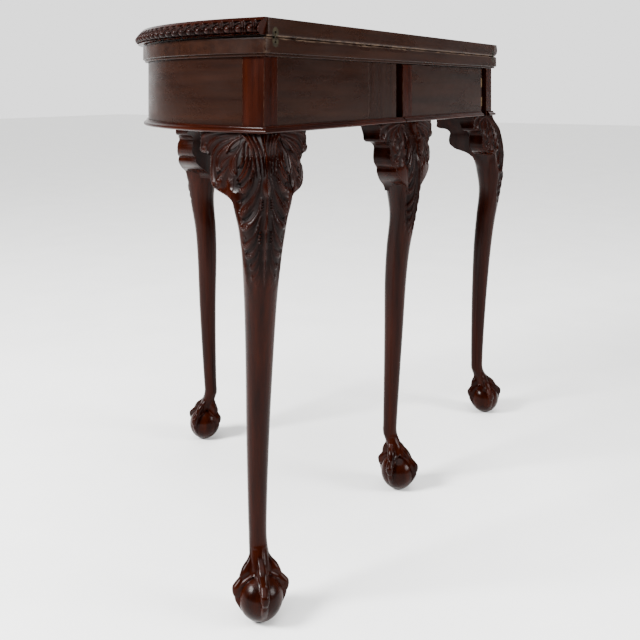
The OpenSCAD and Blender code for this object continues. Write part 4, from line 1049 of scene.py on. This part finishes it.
def timber(name, dark, light, axis=None, gloss=0.27, gleam=0.06, worn=(0.085, 0.055, 0.036)):
    """Old polished wood. `axis` is None where the piece has its own grain and relief, or the object
    axis that the grain follows. Streaks: noise stretched along the grain through a colour ramp.
    Pores: much finer noise, cut to its peaks, that darkens and dents the surface. Relief below 1
    is a carved hollow, dark with old wax, or an ear's plain back, where the darkening is painted
    shade; relief above 1 is an arris rubbed pale here and there."""
    material, tree, shader = new_material(name)
    if axis is None:
        place = node(tree, "ShaderNodeAttribute", attribute_name="grain").outputs["Vector"]
    else:
        place = node(tree, "ShaderNodeTexCoord").outputs["Object"]
        turn = node(tree, "ShaderNodeMapping")
        turn.inputs["Rotation"].default_value = {"x": (0, 0, 0), "y": (0, 0, -math.pi / 2),
                                                 "z": (0, math.pi / 2, 0)}[axis]
        tree.links.new(place, turn.inputs["Vector"])
        place = turn.outputs["Vector"]
    streak = stretched(tree, place, (5, 95, 95), 1.0, 5.0, 0.6)
    broad = stretched(tree, place, (2.2, 14, 14), 1.0, 3.0)
    between = tuple(float(c) for c in mix(np.array(dark), np.array(light), 0.45))
    wood = ramp(tree, streak, [(0.34, dark), (0.5, between), (0.68, light)])
    bands = ramp(tree, broad, [(0.3, (0.8, 0.78, 0.78)), (0.7, (1.16, 1.12, 1.08))])
    wood = blended(tree, 1.0, wood, bands, "MULTIPLY")
    pores = stretched(tree, place, (70, 1500, 1500), 1.0, 2.0)
    wood = blended(tree, ramp(tree, pores, [(0.58, BLACK), (0.74, HALF_PORE)]), wood, PORE)
    haze = stretched(tree, place, (9, 30, 30), 1.0, 3.0)
    rough = ramp(tree, haze, [(0.3, (gloss - 0.06,) * 3), (0.7, (gloss + 0.10,) * 3)])
    if axis is None:
        relief = node(tree, "ShaderNodeAttribute", attribute_name="relief").outputs["Fac"]
        # Low relief darkens the wood: old wax in carved hollows, and painted shade on the ears' plain
        # backs.
        wax_and_shade = ramp(tree, relief, [(0.1, (0.16, 0.14, 0.14)), (0.5, (0.6, 0.58, 0.58)),
                                  (0.95, WHITE)])
        wood = blended(tree, 1.0, wood, wax_and_shade, "MULTIPLY")
        matt = ramp(tree, relief, [(0.35, WHITE), (0.85, BLACK)])
        rough = blended(tree, matt, rough, MATT_HOLLOW)
        above = node(tree, "ShaderNodeMath", operation="SUBTRACT", use_clamp=True)
        tree.links.new(relief, above.inputs[0])
        above.inputs[1].default_value = 1.0
        broken = ramp(tree, stretched(tree, place, (55, 240, 240), 1.0, 4.0, 0.7),
                      [(0.44, BLACK), (0.62, WHITE)])
        rubbed = node(tree, "ShaderNodeMath", operation="MULTIPLY", use_clamp=True)
        tree.links.new(above.outputs[0], rubbed.inputs[0])
        tree.links.new(broken, rubbed.inputs[1])
        wood = blended(tree, rubbed.outputs[0], wood, worn)
        rough = blended(tree, rubbed.outputs[0], rough, MATT_WORN)
    height = node(tree, "ShaderNodeMath", operation="MULTIPLY")
    tree.links.new(ramp(tree, pores, [(0.60, BLACK), (0.72, WHITE)]), height.inputs[0])
    height.inputs[1].default_value = -1.0
    bump_pore = node(tree, "ShaderNodeBump", Strength=0.16, Distance=0.0003)
    tree.links.new(height.outputs[0], bump_pore.inputs["Height"])
    wave = stretched(tree, place, (28, 55, 55), 1.0, 2.0)
    bump_wave = node(tree, "ShaderNodeBump", Strength=0.12, Distance=0.002)
    tree.links.new(wave, bump_wave.inputs["Height"])
    tree.links.new(bump_pore.outputs["Normal"], bump_wave.inputs["Normal"])
    tree.links.new(bump_wave.outputs["Normal"], shader.inputs["Normal"])
    tree.links.new(wood, shader.inputs["Base Color"])
    tree.links.new(rough, shader.inputs["Roughness"])
    shader.inputs["Specular IOR Level"].default_value = gleam
    return material


leg_wood = timber("carved_mahogany", (0.0052, 0.0007, 0.0002), (0.0155, 0.0024, 0.0006),
                  gloss=0.20, gleam=0.055)
board_colours = (0.0062, 0.0021, 0.0012), (0.0118, 0.0042, 0.0023)
rail_wood = timber("board_mahogany", *board_colours)
leaf_wood = timber("leaf_mahogany", (0.0072, 0.0025, 0.0014), (0.0135, 0.0050, 0.0027))
gate_wood = timber("gate_rail_mahogany", *board_colours, axis="x")
oak_colours = (0.05, 0.030, 0.016), (0.13, 0.085, 0.046)
oak_x, oak_y, oak_z = (timber("oak_" + axis, *oak_colours, axis=axis, gloss=0.6) for axis in "xyz")

# %% Brass, steel and baize
def metal(name, colour, dull, rough):
    """Old metal: its colour is broken by patches of tarnish, and fine noise scratches its gloss."""
    material, tree, shader = new_material(name)
    place = node(tree, "ShaderNodeTexCoord").outputs["Object"]
    patch = stretched(tree, place, (160, 160, 160), 1.0, 5.0, 0.65)
    tint = ramp(tree, patch, [(0.36, dull), (0.62, colour)])
    tree.links.new(tint, shader.inputs["Base Color"])
    fine = stretched(tree, place, (300, 900, 900), 1.0, 3.0)
    gloss = ramp(tree, fine, [(0.3, (rough - 0.08,) * 3), (0.7, (rough + 0.15,) * 3)])
    tree.links.new(gloss, shader.inputs["Roughness"])
    dents = node(tree, "ShaderNodeBump", Strength=0.2, Distance=0.0004)
    tree.links.new(patch, dents.inputs["Height"])
    tree.links.new(dents.outputs["Normal"], shader.inputs["Normal"])
    shader.inputs["Metallic"].default_value = 1.0
    return material


brass = metal("old_brass", (0.034, 0.027, 0.015), (0.010, 0.008, 0.006), 0.45)
steel = metal("plain_steel", (0.10, 0.10, 0.10), (0.05, 0.048, 0.045), 0.4)

baize, baize_tree, baize_shader = new_material("wool_baize")
baize_place = node(baize_tree, "ShaderNodeAttribute", attribute_name="grain").outputs["Vector"]
nap = stretched(baize_tree, baize_place, (900, 900, 900), 1.0, 3.0, 0.7)
worn = stretched(baize_tree, baize_place, (7, 7, 40), 1.0, 4.0)
felt = ramp(baize_tree, nap, [(0.35, (0.005, 0.025, 0.012)), (0.65, (0.011, 0.048, 0.022))])
faded = ramp(baize_tree, worn, [(0.45, BLACK), (0.75, (0.5, 0.5, 0.5))])
felt = blended(baize_tree, faded, felt, (0.022, 0.055, 0.027))
baize_tree.links.new(felt, baize_shader.inputs["Base Color"])
baize_shader.inputs["Roughness"].default_value = 0.95
baize_shader.inputs["Sheen Weight"].default_value = 0.35
nap_bump = node(baize_tree, "ShaderNodeBump", Strength=0.5, Distance=0.0004)
baize_tree.links.new(nap, nap_bump.inputs["Height"])
baize_tree.links.new(nap_bump.outputs["Normal"], baize_shader.inputs["Normal"])

# %% Put the finishes on
def finish_with(material, pieces):
    """Gives each piece that one material."""
    for piece in pieces:
        piece.data.materials.clear()
        piece.data.materials.append(material)


finish_with(leg_wood, wood_pieces["upright"] + wood_pieces["moulding"] + [gadroon_piece])
finish_with(rail_wood, wood_pieces["rails"])
finish_with(leaf_wood, wood_pieces["leaves"])
finish_with(baize, [lower_baize, upper_baize])
finish_with(gate_wood, [nodes["gate_rail"]])
finish_with(oak_x, [nodes["inner_back_rail"]])
finish_with(oak_y, [nodes["cross_rail"]])
finish_with(oak_z, [nodes[n] for n in ("knuckle_block", "corner_block_right", "corner_block_left")])
finish_with(brass, [nodes[n] for n in nodes if n.startswith(("hinge_plate", "hinge_link"))])
finish_with(steel, [nodes[n] for n in nodes if n.startswith(("hinge_pin", "knuckle_pin"))])

# %% [markdown]
# ## Floor, light and camera
#
# The table stands on a plain pale floor in soft studio light. The camera is level and stands lower
# than the table top, and the photograph keeps upright lines parallel. So the lens is shifted down,
# as on a view camera, until the horizon falls where it does in the photograph.

# %% Floor
def pale_floor(size=14.0, steps=8):
    """Flat square grid at floor level, centred below the table."""
    u = np.linspace(-size, size, steps)
    x, y = np.meshgrid(u, u, indexing="ij")
    verts = np.stack([x, y, np.zeros_like(x)], -1).reshape(-1, 3)
    mesh = bpy.data.meshes.new("floor")
    mesh.from_pydata(verts.tolist(), [], grid_faces(steps, steps, False).tolist())
    floor = bpy.data.objects.new("floor", mesh)
    bpy.context.scene.collection.objects.link(floor)
    return floor


floor = pale_floor()
plaster, plaster_tree, plaster_shader = new_material("pale_floor")
floor_place = node(plaster_tree, "ShaderNodeTexCoord").outputs["Object"]
speck = stretched(plaster_tree, floor_place, (6, 6, 6), 1.0, 4.0)
pale = ramp(plaster_tree, speck, [(0.3, (0.86, 0.86, 0.85)), (0.7, (0.9, 0.9, 0.89))])
plaster_tree.links.new(pale, plaster_shader.inputs["Base Color"])
plaster_shader.inputs["Roughness"].default_value = 0.7
finish_with(plaster, [floor])
if floor.data.polygons[0].normal.z < 0:
    floor.data.flip_normals()
print("floor faces up:", floor.data.polygons[0].normal.z > 0)

# %% Soft studio light
# The backdrop is bright only behind the table as the camera sees it, and the rest of the room is
# dim, so that polished wood doesn't mirror a white room. The table's front and back views
# therefore have a dark background. Glow follows how far a direction agrees with GLOW_WAY.
BACKDROP, ROOM = 1.9, 0.08
GLOW_WAY, GLOW_FROM, GLOW_FULL = (-0.85, -0.51, 0.1), 0.6, 0.93
world = bpy.data.worlds.new("studio")
bpy.context.scene.world = world
world.use_nodes = True
sky = world.node_tree
facing = node(sky, "ShaderNodeVectorMath", operation="DOT_PRODUCT")
sky.links.new(node(sky, "ShaderNodeTexCoord").outputs["Generated"], facing.inputs[0])
facing.inputs[1].default_value = GLOW_WAY
glow = node(sky, "ShaderNodeMapRange")
for place, value in zip(glow.inputs[1:5], (GLOW_FROM, GLOW_FULL, ROOM, BACKDROP)):
    place.default_value = value
sky.links.new(facing.outputs["Value"], glow.inputs["Value"])
sky.links.new(glow.outputs[0], sky.nodes["Background"].inputs["Strength"])
sky.nodes["Background"].inputs["Color"].default_value = (1.0, 1.0, 1.0, 1.0)


def lamp(name, kind, at, aim, power, **values):
    """Lamp of one kind at a place, turned towards another."""
    light = bpy.data.lights.new(name, kind)
    light.energy = power
    for key, value in values.items():
        setattr(light, key, value)
    holder = bpy.data.objects.new(name, light)
    holder.location = at
    way = np.array(aim, float) - np.array(at, float)
    way /= np.linalg.norm(way)
    holder.rotation_euler = (math.acos(-way[2]), 0.0, math.atan2(way[1], way[0]) - math.pi / 2)
    bpy.context.scene.collection.objects.link(holder)
    return holder


lamp("ceiling", "SUN", (0.3, 0.3, 4.0), (0.0, 0.0, 0.0), 4.6, angle=math.radians(60))
lamp("window", "AREA", (2.3, -1.25, 2.1), (0.4, 0.1, 0.6), 380.0, shape="SQUARE", size=1.0)
lamp("far_window", "AREA", (-0.5, 2.9, 1.5), (0.4, 0.2, 0.6), 160.0, shape="SQUARE", size=1.1)

# %% Camera
CAMERA_AT = (1.27624, 0.60167 + BACK_FACE * MM, 0.66418)
CAMERA_YAW = math.radians(211.0)
FOCAL_PX, HORIZON_PX, FRAME_PX, SENSOR_MM = 853.84, 86.8, 640.0, 36.0
camera_data = bpy.data.cameras.new("camera")
camera_data.sensor_width = SENSOR_MM
camera_data.lens = FOCAL_PX / FRAME_PX * SENSOR_MM
camera_data.shift_y = -(FRAME_PX / 2 - HORIZON_PX) / FRAME_PX
camera = bpy.data.objects.new("camera", camera_data)
camera.location = CAMERA_AT
camera.rotation_euler = (math.pi / 2, 0.0, CAMERA_YAW - math.pi / 2)
bpy.context.scene.collection.objects.link(camera)
bpy.context.scene.camera = camera
print("lens", round(camera_data.lens, 2), "mm, shift", round(camera_data.shift_y, 4))
